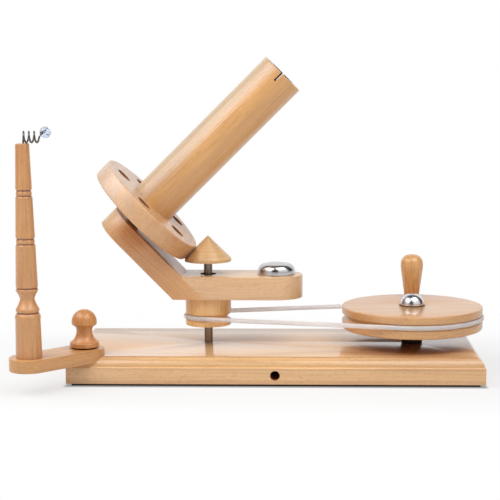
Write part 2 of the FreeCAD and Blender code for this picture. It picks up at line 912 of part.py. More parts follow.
def coil_place(turns):
    """Point and heading of the coil after a number of turns. It runs along +X."""
    angle = 2 * math.pi * turns
    start = coil_start() - V(0, coil_radius, 0)
    point = start + V(coil_pitch * turns, coil_radius * math.cos(angle),
                      coil_radius * math.sin(angle))
    rate = coil_pitch / (2 * math.pi)
    along = V(rate, -coil_radius * math.sin(angle), coil_radius * math.cos(angle))
    return point, along.normalize()


def arc_to(here, apex, there):
    """Arc from here to there whose tangents meet at the apex."""
    chord_middle = (here + there) * 0.5
    first = apex - here
    second = there - apex
    turn = first.getAngle(second)
    share = math.tan(turn / 4) / math.tan(turn / 2)
    return Part.Arc(here, chord_middle + (apex - chord_middle) * share, there)


def biarc(here, leave, there, arrive):
    """Two tangent arcs from one point and heading to another."""
    span = there - here
    both = leave + arrive
    spread = 2 * (1 - leave.dot(arrive))
    reach = (math.sqrt(span.dot(both) ** 2 + spread * span.dot(span)) - span.dot(both)) / spread
    first = here + leave * reach
    last = there - arrive * reach
    middle = (first + last) * 0.5
    return [arc_to(here, first, middle), arc_to(middle, last, there)]


def bend(here, leave, arrive, radius):
    """One arc of a given radius from a heading to another, and its end."""
    turn = leave.getAngle(arrive)
    reach = radius * math.tan(turn / 2)
    apex = here + leave * reach
    there = apex + arrive * reach
    return arc_to(here, apex, there), there


def wire_leg():
    """Foot and top of the upright leg in the post, and the apex of its bend into the coil."""
    start, start_heading = coil_place(0)
    lean = start_heading.getAngle(UP)
    rise = 2 * coil_radius * math.tan(lean / 2)
    apex = start - start_heading * rise
    bend_foot = apex - UP * rise
    leg_foot = V(bend_foot.x, bend_foot.y, guide_top + post_height - wire_leg_depth)
    return leg_foot, bend_foot, apex


def wire_route():
    """Curves of the pigtail: leg, coil in quarter turns, and the end that holds the bead."""
    leg_foot, bend_foot, apex = wire_leg()
    start, _ = coil_place(0)
    curves = [Part.LineSegment(leg_foot, bend_foot), arc_to(bend_foot, apex, start)]
    for quarter in range(4 * coil_turns):
        here, leave = coil_place(quarter / 4)
        there, arrive = coil_place((quarter + 1) / 4)
        curves += biarc(here, leave, there, arrive)
    here, leave = coil_place(coil_turns)
    rise_end = here + leave * wire_last_rise
    arrive = V(1, 0, 0)
    last_arc, bend_end = bend(rise_end, leave, arrive, wire_bend_radius)
    centre = bend_end + arrive * (bead_diameter / 2 + bead_grip)
    curves += [Part.LineSegment(here, rise_end), last_arc, Part.LineSegment(bend_end, centre)]
    return curves, bend_end, centre


def least_gap(curves):
    """Least gap of the wire to itself, on points a quarter turn or more apart."""
    points = []
    for curve in curves:
        points += curve.toShape().discretize(9)[:-1]
    step = 0.25 * 2 * math.pi * coil_radius
    travelled = [0.0]
    for before, after in zip(points, points[1:]):
        travelled.append(travelled[-1] + (after - before).Length)
    gap = 1e9
    for i, first in enumerate(points):
        for j in range(i + 1, len(points)):
            if travelled[j] - travelled[i] > 2 * step:
                gap = min(gap, (points[j] - first).Length)
    return gap - wire_diameter


def pigtail_guide():
    """Steel wire coil that the yarn is threaded through, one unbroken wire."""
    curves, _, _ = wire_route()
    print("pigtail's least gap to itself", round(least_gap(curves), 2))
    path = Part.Wire([curve.toShape() for curve in curves])
    foot = path.Edges[0].firstVertex().Point
    circle = Part.Wire(Part.makeCircle(wire_diameter / 2, foot, UP))
    return outward(path.makePipeShell([circle], True, False))


def guide_bead():
    """Clear bead on the wire's end."""
    _, bend_end, centre = wire_route()
    ball = Part.makeSphere(bead_diameter / 2, centre)
    bore = wire_diameter + 2 * fixing_gap
    return ball.cut(cylinder(bore, (centre - bend_end).Length, bend_end, centre - bend_end))


def clamp_knob():
    """Turned knob: round foot, cove and ball."""
    foot = knob_foot_radius
    neck = knob_neck_radius
    ball_height = knob_height - knob_ball_radius
    knob = turned((0, 0), [
        (foot - 0.6, 0),
        (foot, 0.6),
        (foot - 0.4, knob_foot_height - 0.8),
        (foot - 0.6, knob_foot_height, foot - 1.4, knob_foot_height + 0.4),
        (neck + 2.0, knob_foot_height + 4.6, neck, knob_neck_height),
        (neck + 1.0, (knob_neck_height + 2 * knob_collar_height) / 3,
         knob_collar_radius, knob_collar_height),
        (knob_ball_radius, knob_collar_height + 1.4),
        (knob_ball_radius, ball_height),
        cap(knob_ball_radius, ball_height, knob_height),
    ])
    bore = clamp_bolt_diameter + 2 * fixing_gap
    knob = knob.cut(cylinder(bore, clamp_bolt_grip, V(0, 0, 0)))
    return stand(knob, pivot + UP * knob_bottom)


def clamp_bolt():
    """Stud fixed in the knob, through the guide arm, into the base's insert."""
    foot_z = guide_bottom - clamp_insert_length
    return cylinder(clamp_bolt_diameter, knob_bottom + clamp_bolt_grip - foot_z,
                    pivot + UP * foot_z)


def clamp_washer():
    bore = clamp_bolt_diameter + 2 * running_gap
    return tube(clamp_washer_diameter, bore, clamp_washer_thickness, pivot + UP * guide_top)


still_makers = (
    base_board, base_pad, clamp_insert, head_shaft, shaft_rings, thrust_washer, foot_nuts,
    friction_cone, wheel_axle, wheel_spacer, axle_washers, dome_nut, drive_belt,
    drive_wheel, wheel_bush, handle_washer, crank_handle, handle_insert, handle_bolt,
    guide_arm, post_screw, guide_post, pigtail_guide, guide_bead, clamp_knob, clamp_bolt,
    clamp_washer)
head_makers = (
    drive_pulley, pulley_screws, head_bush_lower, head_bush_upper, arm_beam, spindle_arm,
    arm_dowels, counterweight, counterweight_screw, spindle_axle, spindle_spacer,
    spindle_washer, spindle_nut, friction_disc, spindle_bush, winding_tube)

os.makedirs("parts", exist_ok=True)
for maker in still_makers + head_makers:
    shape = maker()
    if maker in head_makers:
        shape.rotate(shaft_axis, UP, head_turn)
    print(maker.__name__, len(shape.Solids), shape.isValid(), round(shape.Volume, 1))
    shape.exportStep("parts/" + maker.__name__ + ".step")
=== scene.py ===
import json
import math

import bmesh
import bpy
from mathutils import Matrix, Vector


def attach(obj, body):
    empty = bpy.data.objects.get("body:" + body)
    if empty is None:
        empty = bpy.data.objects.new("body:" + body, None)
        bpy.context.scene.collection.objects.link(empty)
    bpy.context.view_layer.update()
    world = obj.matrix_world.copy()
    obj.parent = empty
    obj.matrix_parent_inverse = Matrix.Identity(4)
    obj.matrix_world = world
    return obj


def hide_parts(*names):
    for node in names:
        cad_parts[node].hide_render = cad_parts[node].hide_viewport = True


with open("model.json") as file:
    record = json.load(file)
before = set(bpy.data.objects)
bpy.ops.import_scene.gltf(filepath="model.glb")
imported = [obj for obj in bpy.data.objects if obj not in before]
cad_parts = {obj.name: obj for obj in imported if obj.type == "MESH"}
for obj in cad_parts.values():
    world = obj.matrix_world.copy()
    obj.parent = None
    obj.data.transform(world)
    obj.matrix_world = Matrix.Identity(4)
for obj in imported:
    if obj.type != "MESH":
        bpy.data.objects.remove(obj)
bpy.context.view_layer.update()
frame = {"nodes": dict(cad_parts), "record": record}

# Sizes are in millimetres, in the frame of the CAD part. A bottom or a top is a height.
MM = 0.001
UP = Vector((0, 0, 1))

# Base, shaft and cone.
base_length = 430.0
base_width = 170.0
base_bottom = 3.0
base_top = 30.5
ovolo_width = 6.3
ovolo_height = 9.0
step_height = 1.2
clamp_hole_diameter = 10
clamp_hole_depth = 60
clamp_hole_height = 12
insert_diameter = 12
insert_length = 14
nut_well_ratio = 2.4  # the width of a nut's well under the board, over its rod's
shaft_x = -73.0
shaft_axis = Vector((shaft_x, 0, 0))
shaft_diameter = 9
cone_bottom = 119.0
cone_radius = 25
cone_rim = 3
cone_tip = 0.8

# Crank wheel, handle and belt.
wheel_x = 146.0
wheel_axis = Vector((wheel_x, 0, 0))
wheel_bottom = 47.5
wheel_top = 71.0
wheel_diameter = 150
wheel_axle_diameter = 10
washer_gap = 0.05
upper_washer_thickness = 0.5
lower_washer_thickness = 1
handle_reach = 55
handle_angle = math.radians(86)
handle_axis = Vector((wheel_x + handle_reach * math.cos(handle_angle),
                      handle_reach * math.sin(handle_angle), 0))
handle_bottom = wheel_top + 1.3
handle_bolt_diameter = 6
handle_insert_diameter = 9
belt_level = 59.5
belt_diameter = 4.8
belt_on_pulley = 24.173
belt_on_wheel = 74.168

# Winding head.
pulley_bottom = 50.5
pulley_diameter = 49
arm_bottom = 81.0
arm_top = 105.0
arm_width = 58
arm_thickness = arm_top - arm_bottom
arm_start = shaft_x - 116
arm_reach = 188.5
tilted_start = 4
tilted_reach = 150
head_bush_diameter = 16
shaft_recess_diameter = 17.6
shaft_recess_depth = 3.9
weight_axis = Vector((0.5, 0, 0))
weight_screw_head = 12
spindle_axle_diameter = 8
spindle_axle_head = 14
spindle_gap = 9
disc_radius = 65
disc_gap = 0.3
disc_below_cone = 3
disc_hole_diameter = 17
disc_hole_circle = 43.5
disc_hole_angles = (190, 262, 334, 46, 123)
tube_bore = 30
tube_seat = 13
tube_length = 203
kerf_width = 2.2
kerf_depth = 10.5
kerf_turn = math.radians(-0.7)

# Tilted board and disc are this much thinner than in CAD, so that the dark sleeve between
# them shows.
shaved = 0.9

# The spindle leans over the shaft. Its foot is the middle of the disc's lower face. The head
# stands turned a little about the shaft, and its pieces are made before that turn.
lean = math.radians(45.3)
spindle = Vector((math.sin(lean), 0, math.cos(lean)))
across = Vector((math.cos(lean), 0, -math.sin(lean)))
disc_foot = (Vector((shaft_x - cone_radius, 0, cone_bottom + cone_rim))
             - across * (disc_radius + disc_gap) - spindle * disc_below_cone)
board_top = disc_foot - spindle * spindle_gap
head_turn = (Matrix.Translation((shaft_x, 0, 0)) @ Matrix.Rotation(math.radians(-1.5), 4, "Z")
             @ Matrix.Translation((-shaft_x, 0, 0)))

# Yarn guide and knob. The post leans a little to the left, as it does in the photograph.
pivot = Vector((-197.5, -67.5, 0.0))
guide_turn = math.radians(226.0)
guide_swing = math.radians(46.0)
guide_reach = 69.5
guide_width = 40.5
guide_bottom = 24.5
guide_top = 37.5
post_axis = pivot + Vector((math.cos(guide_turn), math.sin(guide_turn), 0)) * guide_reach
post_foot = Vector((post_axis.x, post_axis.y, guide_top))
post_height = 214
post_foot_radius = 13.2
post_taper = 6.35
post_lean = Vector((-0.0085, 0, 1))
post_top = post_foot + post_lean * post_height
post_screw_head = 8.4
wire = 1.9
coil_radius = 5.3
coil_pitch = 5.25
coil_turns = 3
coil_steps = 32
coil_start = post_top + Vector((0.4, 0, coil_radius + wire / 2 + 0.02))
leg_depth = 13
leg_foot = Vector((post_top.x, post_top.y + coil_radius, post_top.z - leg_depth))
end_turn = math.radians(75)
end_steps = 10
end_rise = 0.67
bead_diameter = 11.3
bead_place = coil_start + Vector((coil_pitch * coil_turns + end_steps * end_rise + 0.1,
                                  coil_radius * math.cos(end_turn),
                                  coil_radius * math.sin(end_turn) - 0.6))
clamp_bolt_diameter = 8
knob_bottom = 39.0


# ---- building shapes ----

# Edges that turn by more than these angles are eased, and shaded as an edge.
eased_angle = 32
sharp_angle = 38


def outline(start, steps, fine=8):
    """Points through radius and height pairs. A step of four numbers is an arc: via, then end."""
    points = [Vector(start)]
    for step in steps:
        end = Vector(step[-2:])
        if len(step) == 4:
            points += arc_points(points[-1], Vector(step[:2]), end, fine)
        else:
            points.append(end)
    return points


def arc_points(start, via, end, fine):
    """Points on the circle through three points, after the first."""
    a = via - start
    b = end - start
    cross = 2 * (a.x * b.y - a.y * b.x)
    centre = start + Vector((b.y * a.length_squared - a.y * b.length_squared,
                             a.x * b.length_squared - b.x * a.length_squared)) / cross
    first = math.atan2(start.y - centre.y, start.x - centre.x)
    last = math.atan2(end.y - centre.y, end.x - centre.x)
    turn = (last - first) % (2 * math.pi)
    if cross < 0:
        turn -= 2 * math.pi
    radius = (start - centre).length
    angles = [first + turn * i / fine for i in range(1, fine)]
    middle = [centre + Vector((math.cos(t), math.sin(t))) * radius for t in angles]
    return middle + [end]


def crown(radius, low, high):
    """Step over a round crown, from a radius at one height to the axis at a higher one."""
    rise = high - low
    ball = (radius ** 2 + rise ** 2) / (2 * rise)
    half = math.atan2(radius, ball - rise) / 2
    return ball * math.sin(half), high - ball * (1 - math.cos(half)), 0, high


def lathe(points, count=128):
    """Turned shape about Z, from an outline that closes on itself or ends on the axis."""
    bm = bmesh.new()
    verts = [bm.verts.new((p.x, 0, p.y)) for p in points]
    edges = [bm.edges.new(pair) for pair in zip(verts, verts[1:])]
    if points[0].x > 0.01:
        edges.append(bm.edges.new((verts[-1], verts[0])))
    bmesh.ops.spin(bm, geom=verts + edges, cent=(0, 0, 0), axis=UP,
                   angle=2 * math.pi, steps=count, use_merge=True)
    bmesh.ops.remove_doubles(bm, verts=bm.verts, dist=0.002)
    bmesh.ops.recalc_face_normals(bm, faces=bm.faces)
    return bm


def rod(diameter, foot, direction, length, count=64):
    """Plain round bar, from a foot along a direction."""
    bm = bmesh.new()
    bmesh.ops.create_cone(bm, cap_ends=True, segments=count, radius1=diameter / 2,
                          radius2=diameter / 2, depth=length,
                          matrix=Matrix.Translation((0, 0, length / 2)))
    return stand(bm, foot, direction)


def upright(diameter, axis, bottom, length):
    """Plain round bar that stands at a height on an axis."""
    return rod(diameter, Vector((axis.x, axis.y, bottom)), UP, length)


def stand(bm, foot, direction=UP):
    """Stand a shape that was made on Z at a foot, along a direction in the XZ plane or on Y."""
    tip = math.atan2(direction.x, direction.z)
    matrix = Matrix.Translation(foot) @ Matrix.Rotation(tip, 4, "Y")
    if abs(direction.y) > 0.5:
        turn = -math.pi / 2 if direction.y > 0 else math.pi / 2
        matrix = Matrix.Translation(foot) @ Matrix.Rotation(turn, 4, "X")
    bmesh.ops.transform(bm, matrix=matrix, verts=bm.verts)
    return bm


def bar(width, reach, thickness, count=96):
    """Flat bar with round ends: one end about the origin, the other at a reach along X."""
    bm = bmesh.new()
    for x in (0, reach):
        bmesh.ops.create_cone(bm, cap_ends=True, segments=count, radius1=width / 2,
                              radius2=width / 2, depth=thickness,
                              matrix=Matrix.Translation((x, 0, thickness / 2)))
    hull = bmesh.ops.convex_hull(bm, input=bm.verts)
    inner = [g for g in hull["geom_interior"] if isinstance(g, bmesh.types.BMVert)]
    bmesh.ops.delete(bm, geom=inner, context="VERTS")
    bmesh.ops.dissolve_limit(bm, angle_limit=0.01, verts=bm.verts, edges=bm.edges)
    bmesh.ops.recalc_face_normals(bm, faces=bm.faces)
    return bm


def turned_in_plan(bm, angle, foot):
    """Turn a shape about Z and stand it at a foot."""
    matrix = Matrix.Translation(foot) @ Matrix.Rotation(angle, 4, "Z")
    bmesh.ops.transform(bm, matrix=matrix, verts=bm.verts)
    return bm


def keep_side(bm, point, normal):
    """Cut a closed shape with a plane and keep what the normal points away from."""
    cut = bmesh.ops.bisect_plane(bm, geom=bm.verts[:] + bm.edges[:] + bm.faces[:],
                                 plane_co=point, plane_no=normal, clear_outer=True)
    rim = [g for g in cut["geom_cut"] if isinstance(g, bmesh.types.BMEdge)]
    bmesh.ops.holes_fill(bm, edges=rim, sides=0)
    bmesh.ops.recalc_face_normals(bm, faces=bm.faces)
    return bm


def as_object(bm, name):
    """Mesh object in metres, with its place in its mesh."""
    bmesh.ops.scale(bm, vec=(MM, MM, MM), verts=bm.verts)
    mesh = bpy.data.meshes.new(name)
    bm.to_mesh(mesh)
    bm.free()
    piece = bpy.data.objects.new(name, mesh)
    bpy.context.scene.collection.objects.link(piece)
    return piece


def settle(piece):
    """Make a piece's modifiers part of its mesh."""
    bpy.context.view_layer.update()
    shown = piece.evaluated_get(bpy.context.evaluated_depsgraph_get())
    mesh = bpy.data.meshes.new_from_object(shown)
    old = piece.data
    piece.modifiers.clear()
    piece.data = mesh
    bpy.data.meshes.remove(old)


def carve(piece, cutters, finish):
    """Take each cutter's shape out of a piece, and give the walls that it leaves a finish."""
    for bm in cutters:
        tool = as_object(bm, "cutter")
        tool.data.materials.append(finish)
        take = piece.modifiers.new("cut", "BOOLEAN")
        take.operation = "DIFFERENCE"
        take.solver = "EXACT"
        take.material_mode = "TRANSFER"
        take.object = tool
        settle(piece)
        bpy.data.objects.remove(tool)


def piece_of(bm, name, body, finish, nodes, edge=0.0, cutters=(), bores=(),
             wall="dark_bore"):
    """Finish a shape: cut it, ease its edges, shade it, and let it stand for its CAD nodes. A
    bore's wall has its own finish, and a cutter's wall has the piece's."""
    piece = as_object(bm, name)
    piece.data.materials.append(finish)
    carve(piece, cutters, finish)
    carve(piece, bores, finishes[wall])
    if body in ("head", "spindle"):
        turn = head_turn.copy()
        turn.translation *= MM
        piece.data.transform(turn)
    if edge:
        ease = piece.modifiers.new("edges", "BEVEL")
        ease.width = edge * MM
        ease.segments = 3
        ease.limit_method = "ANGLE"
        ease.angle_limit = math.radians(eased_angle)
        ease.miter_outer = "MITER_ARC"
        settle(piece)
    piece.data.shade_smooth()
    piece.data.set_sharp_from_angle(angle=math.radians(sharp_angle))
    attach(piece, body)
    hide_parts(*nodes)
    return piece


# ---- finishes ----

class Signal:
    """A number that varies over a surface. Arithmetic on it adds Math nodes."""

    def __init__(self, finish, socket):
        self.finish = finish
        self.socket = socket

    def maths(self, operation, *values):
        return self.finish.node("ShaderNodeMath", dict(enumerate(values)), operation=operation)

    def __add__(self, other):
        return self.maths("ADD", self, other)

    def __sub__(self, other):
        return self.maths("SUBTRACT", self, other)

    def __rsub__(self, other):
        return self.maths("SUBTRACT", other, self)

    def __mul__(self, other):
        return self.maths("MULTIPLY", self, other)

    def __truediv__(self, other):
        return self.maths("DIVIDE", self, other)

    def __pow__(self, other):
        return self.maths("POWER", self, other)

    def __abs__(self):
        return self.maths("ABSOLUTE", self)

    __radd__ = __add__
    __rmul__ = __mul__

    def over(self, low, high):
        """Nought below one value, one above another, and a smooth step between."""
        return self.finish.node("ShaderNodeMapRange", {0: self, 1: low, 2: high},
                                interpolation_type="SMOOTHSTEP")


class Finish:
    """The nodes of a material, or of the world, and the method that makes them."""

    def __init__(self, owner, **constants):
        owner.use_nodes = True
        self.owner = owner
        self.tree = owner.node_tree
        self.shader = self.tree.nodes.get("Principled BSDF")
        for socket, value in constants.items():
            self.shader.inputs[socket.replace("_", " ")].default_value = value

    def node(self, kind, inputs=None, output=0, stops=None, **settings):
        """Make a node: settings first, then a ramp's stops, then values or links."""
        made = self.tree.nodes.new(kind)
        for key, value in settings.items():
            setattr(made, key, value)
        for number, (place, colour) in enumerate(stops or []):
            ramp = made.color_ramp.elements
            stop = ramp[number] if number < len(ramp) else ramp.new(place)
            stop.position = place
            stop.color = (*colour, 1)
        for key, value in (inputs or {}).items():
            if isinstance(value, Signal):
                self.tree.links.new(value.socket, made.inputs[key])
            else:
                made.inputs[key].default_value = value
        return Signal(self, made.outputs[output])

    def feed(self, **signals):
        """Link signals to the shader's sockets."""
        for socket, signal in signals.items():
            self.tree.links.new(signal.socket, self.shader.inputs[socket.replace("_", " ")])

    def here(self):
        """Place on the object, in metres."""
        return self.node("ShaderNodeTexCoord", output="Object")

    def stretched(self, vector, scale):
        return self.node("ShaderNodeMapping", {"Vector": vector, "Scale": scale})

    def noise(self, vector, scale=1.0, detail=3.0, roughness=0.5):
        return self.node("ShaderNodeTexNoise", {"Vector": vector, "Scale": scale, "Detail": detail,
                                                "Roughness": roughness})

    def blend(self, share, first, second, kind="MIX"):
        return self.node("ShaderNodeMix", {0: share, 6: first, 7: second}, output=2,
                         data_type="RGBA", blend_type=kind)

    def tinted(self, share, colour, tint):
        """A colour, multiplied by a tint over a share of the surface."""
        return self.blend(share, colour, self.blend(1.0, colour, (*tint, 1), kind="MULTIPLY"))

    def bump(self, height, distance, strength=1.0):
        return self.node("ShaderNodeBump", {"Height": height, "Distance": distance,
                                            "Strength": strength})


def shade(*levels):
    """Colour of a surface, from the levels that a picture of it shows, out of 255."""
    def level(v):
        v /= 255
        return v / 12.92 if v <= 0.04045 else ((v + 0.055) / 1.055) ** 2.4
    return tuple(level(v) for v in levels) + (1,)


def darker(colour, factors):
    """A colour with a factor on each of its channels."""
    return tuple(c * k for c, k in zip(colour[:3], factors)) + (1,)


def beech(name, centre, grain, face, pale, deep, pith=(14, -95), ring=3.1, gloss=0.7,
          figure=0.5, streak=0.35, dash=0.3, end_shade=0.1, painted_light_patches=(), painted_light_bands=(), haze=0.3,
          sway=22):
    """Lacquered beech, solid right through: growth rings about a pith beside the piece, fibres,
    streaks and ray flecks along the grain, and end grain. Painted light and shade lie over it: a
    patch tints a part that is lit or shaded, and a band tints a level of a moulding or a groove
    with painted shade or a painted highlight. A patch is its place, its size and a tint, and a band
    is its level, half its height and a tint."""
    f = Finish(bpy.data.materials.new(name), Roughness=0.45, Coat_Weight=gloss,
               Coat_Roughness=haze, Coat_IOR=1.5)

    # Millimetres along the piece's own axes: x along the grain, z out of its face.
    along = Vector(grain).normalized()
    up = Vector(face)
    up = (up - along * up.dot(along)).normalized()
    turn = Matrix((along, up.cross(along), up)).transposed().to_euler()
    local = f.node("ShaderNodeMapping", {"Vector": f.here(), "Location": Vector(centre) * MM,
                                         "Rotation": turn, "Scale": (MM, MM, MM)},
                   vector_type="TEXTURE")
    parts = f.node("ShaderNodeSeparateXYZ", {0: local})
    x, y, z = (Signal(f, parts.socket.node.outputs[i]) for i in range(3))

    # Growth rings, which wander a little, and marks that follow them.
    wander = f.noise(f.stretched(local, (0.006, 0.022, 0.022)), detail=2) - 0.5
    aside = y - pith[0]
    below = z - pith[1]
    radius = (aside * aside + below * below) ** 0.5 + wander * sway
    around = aside.maths("ARCTAN2", aside, below) * abs(pith[1])
    years = radius / ring + f.noise(f.stretched(local, (0.002, 0.07, 0.07)), detail=1) * 1.6
    season = years.maths("FRACT", years)
    late = season.over(0.25, 0.94) * (1 - season.over(0.95, 1.0))
    polar = f.node("ShaderNodeCombineXYZ", {0: x, 1: radius, 2: around})
    fibre = f.noise(f.stretched(polar, (0.035, 1.1, 1.1)), detail=5, roughness=0.62)
    broad = f.noise(f.stretched(polar, (0.004, 0.05, 0.03)), detail=2)
    fleck = f.noise(f.stretched(polar, (0.30, 0.30, 2.3)), detail=1).over(0.60, 0.70)
    pore = f.noise(f.stretched(polar, (0.55, 4.5, 4.5)), detail=1).over(0.58, 0.72)
    streaks = f.noise(f.stretched(polar, (0.011, 0.40, 0.40)), detail=3).over(0.47, 0.70)
    dashes = f.noise(f.stretched(polar, (0.17, 0.85, 0.85)), detail=1).over(0.64, 0.72)

    mid = tuple((a + b) / 2 for a, b in zip(pale, deep))
    colour = f.node("ShaderNodeValToRGB", {0: broad * 0.6 + fibre * 0.4},
                    stops=[(0.32, deep[:3]), (0.50, mid[:3]), (0.68, pale[:3])])
    colour = f.blend(late * (0.30 * figure), colour, darker(deep, (0.74, 0.66, 0.60)))
    colour = f.blend(fleck * (0.20 + 0.20 * figure), colour, darker(deep, (0.62, 0.50, 0.42)))
    colour = f.blend(pore * 0.12, colour, darker(deep, (0.5, 0.4, 0.3)))
    colour = f.blend(streaks * streak, colour, darker(deep, (0.78, 0.66, 0.54)))
    colour = f.blend(dashes * dash, colour, darker(deep, (0.52, 0.40, 0.32)))
    # Painted light and shade: a patch multiplies the colour by its tint, fading out at its edge.
    for place, size, tint in painted_light_patches:
        offset = f.node("ShaderNodeVectorMath", {0: local, 1: place}, operation="SUBTRACT")
        away = f.node("ShaderNodeVectorMath", {0: f.stretched(offset, [1 / s for s in size])},
                      output="Value", operation="LENGTH")
        share = 1 - (away + (broad - 0.5) * 1.5).over(0.5, 1.3)
        colour = f.tinted(share, colour, tint)
    height = f.node("ShaderNodeSeparateXYZ", {0: f.here()}, output="Z") / MM
    # Painted shade and painted highlight: a band multiplies the colour by its tint at one level.
    for level, half, tint in painted_light_bands:
        share = 1 - abs(height - level).over(0.6 * half, 1.3 * half)
        colour = f.tinted(share, colour, tint)
    facing = f.node("ShaderNodeVectorMath",
                    {0: f.node("ShaderNodeTexCoord", output="Normal"), 1: along}, output="Value",
                    operation="DOT_PRODUCT")
    end = abs(facing).over(0.55, 0.95)
    colour = f.blend(end * end_shade, colour, darker(deep, (0.66, 0.54, 0.44)))

    relief = fibre * 0.6 - late * 0.25 - fleck * 0.3 - pore * 0.5
    f.feed(Base_Color=colour, Roughness=0.40 + fibre * 0.12 + end * 0.08,
           Normal=f.bump(relief, 0.00005, 0.5))
    return f.owner


def polished(name, colour, roughness=0.05, wear=0.06):
    """Polished plated metal, with faint hairlines and a breath of haze."""
    f = Finish(bpy.data.materials.new(name), Metallic=1.0)
    haze = f.noise(f.here(), scale=120, detail=3)
    hair = f.noise(f.stretched(f.here(), (400, 400, 6000)), detail=2)
    tint = f.blend(haze, colour, darker(colour, (0.94, 0.94, 0.94)))
    f.feed(Base_Color=tint, Roughness=roughness + haze * wear,
           Normal=f.bump(hair, 0.000004, 0.15))
    return f.owner


def machined(name, colour, roughness, lines=(900, 900, 14000), spots=0.25):
    """Turned or drawn steel: fine tool lines and slightly uneven tone."""
    f = Finish(bpy.data.materials.new(name), Metallic=1.0)
    tone = f.noise(f.here(), scale=260, detail=4)
    line = f.noise(f.stretched(f.here(), lines), detail=3)
    tint = f.blend(tone * spots, colour, darker(colour, (0.55, 0.55, 0.55)))
    f.feed(Base_Color=tint, Roughness=roughness + line * 0.14,
           Normal=f.bump(line, 0.00001, 0.35))
    return f.owner


def moulded(name, colour, roughness, grain=900, relief=0.00003, **constants):
    """Rubber or plastic with a fine skin."""
    f = Finish(bpy.data.materials.new(name), **constants)
    skin = f.noise(f.here(), scale=grain, detail=4)
    tone = f.noise(f.here(), scale=60, detail=2)
    tint = f.blend(tone, colour, tuple(min(1, 0.82 * c + 0.004) for c in colour[:3]) + (1,))
    f.feed(Base_Color=tint, Roughness=roughness + skin * 0.15, Normal=f.bump(skin, relief, 0.4))
    return f.owner


def clear_bead(name):
    """Clear glass, faintly blue, with a slight ripple in its surface."""
    f = Finish(bpy.data.materials.new(name), Base_Color=shade(214, 224, 246),
               Transmission_Weight=1.0, IOR=1.46)
    ripple = f.noise(f.here(), scale=180, detail=1)
    f.feed(Roughness=0.015 + ripple * 0.03, Normal=f.bump(ripple, 0.00008, 0.5))
    return f.owner


def tones(level, spread=0.09):
    """Pale and deep tone of a piece's wood about a middle tone. Blue varies most."""
    weights = (1.0, 1.5, 1.9)
    pale = tuple(min(1, c * (1 + spread * k)) for c, k in zip(level, weights))
    deep = tuple(c * (1 - spread * k) for c, k in zip(level, weights))
    return pale + (1,), deep + (1,)
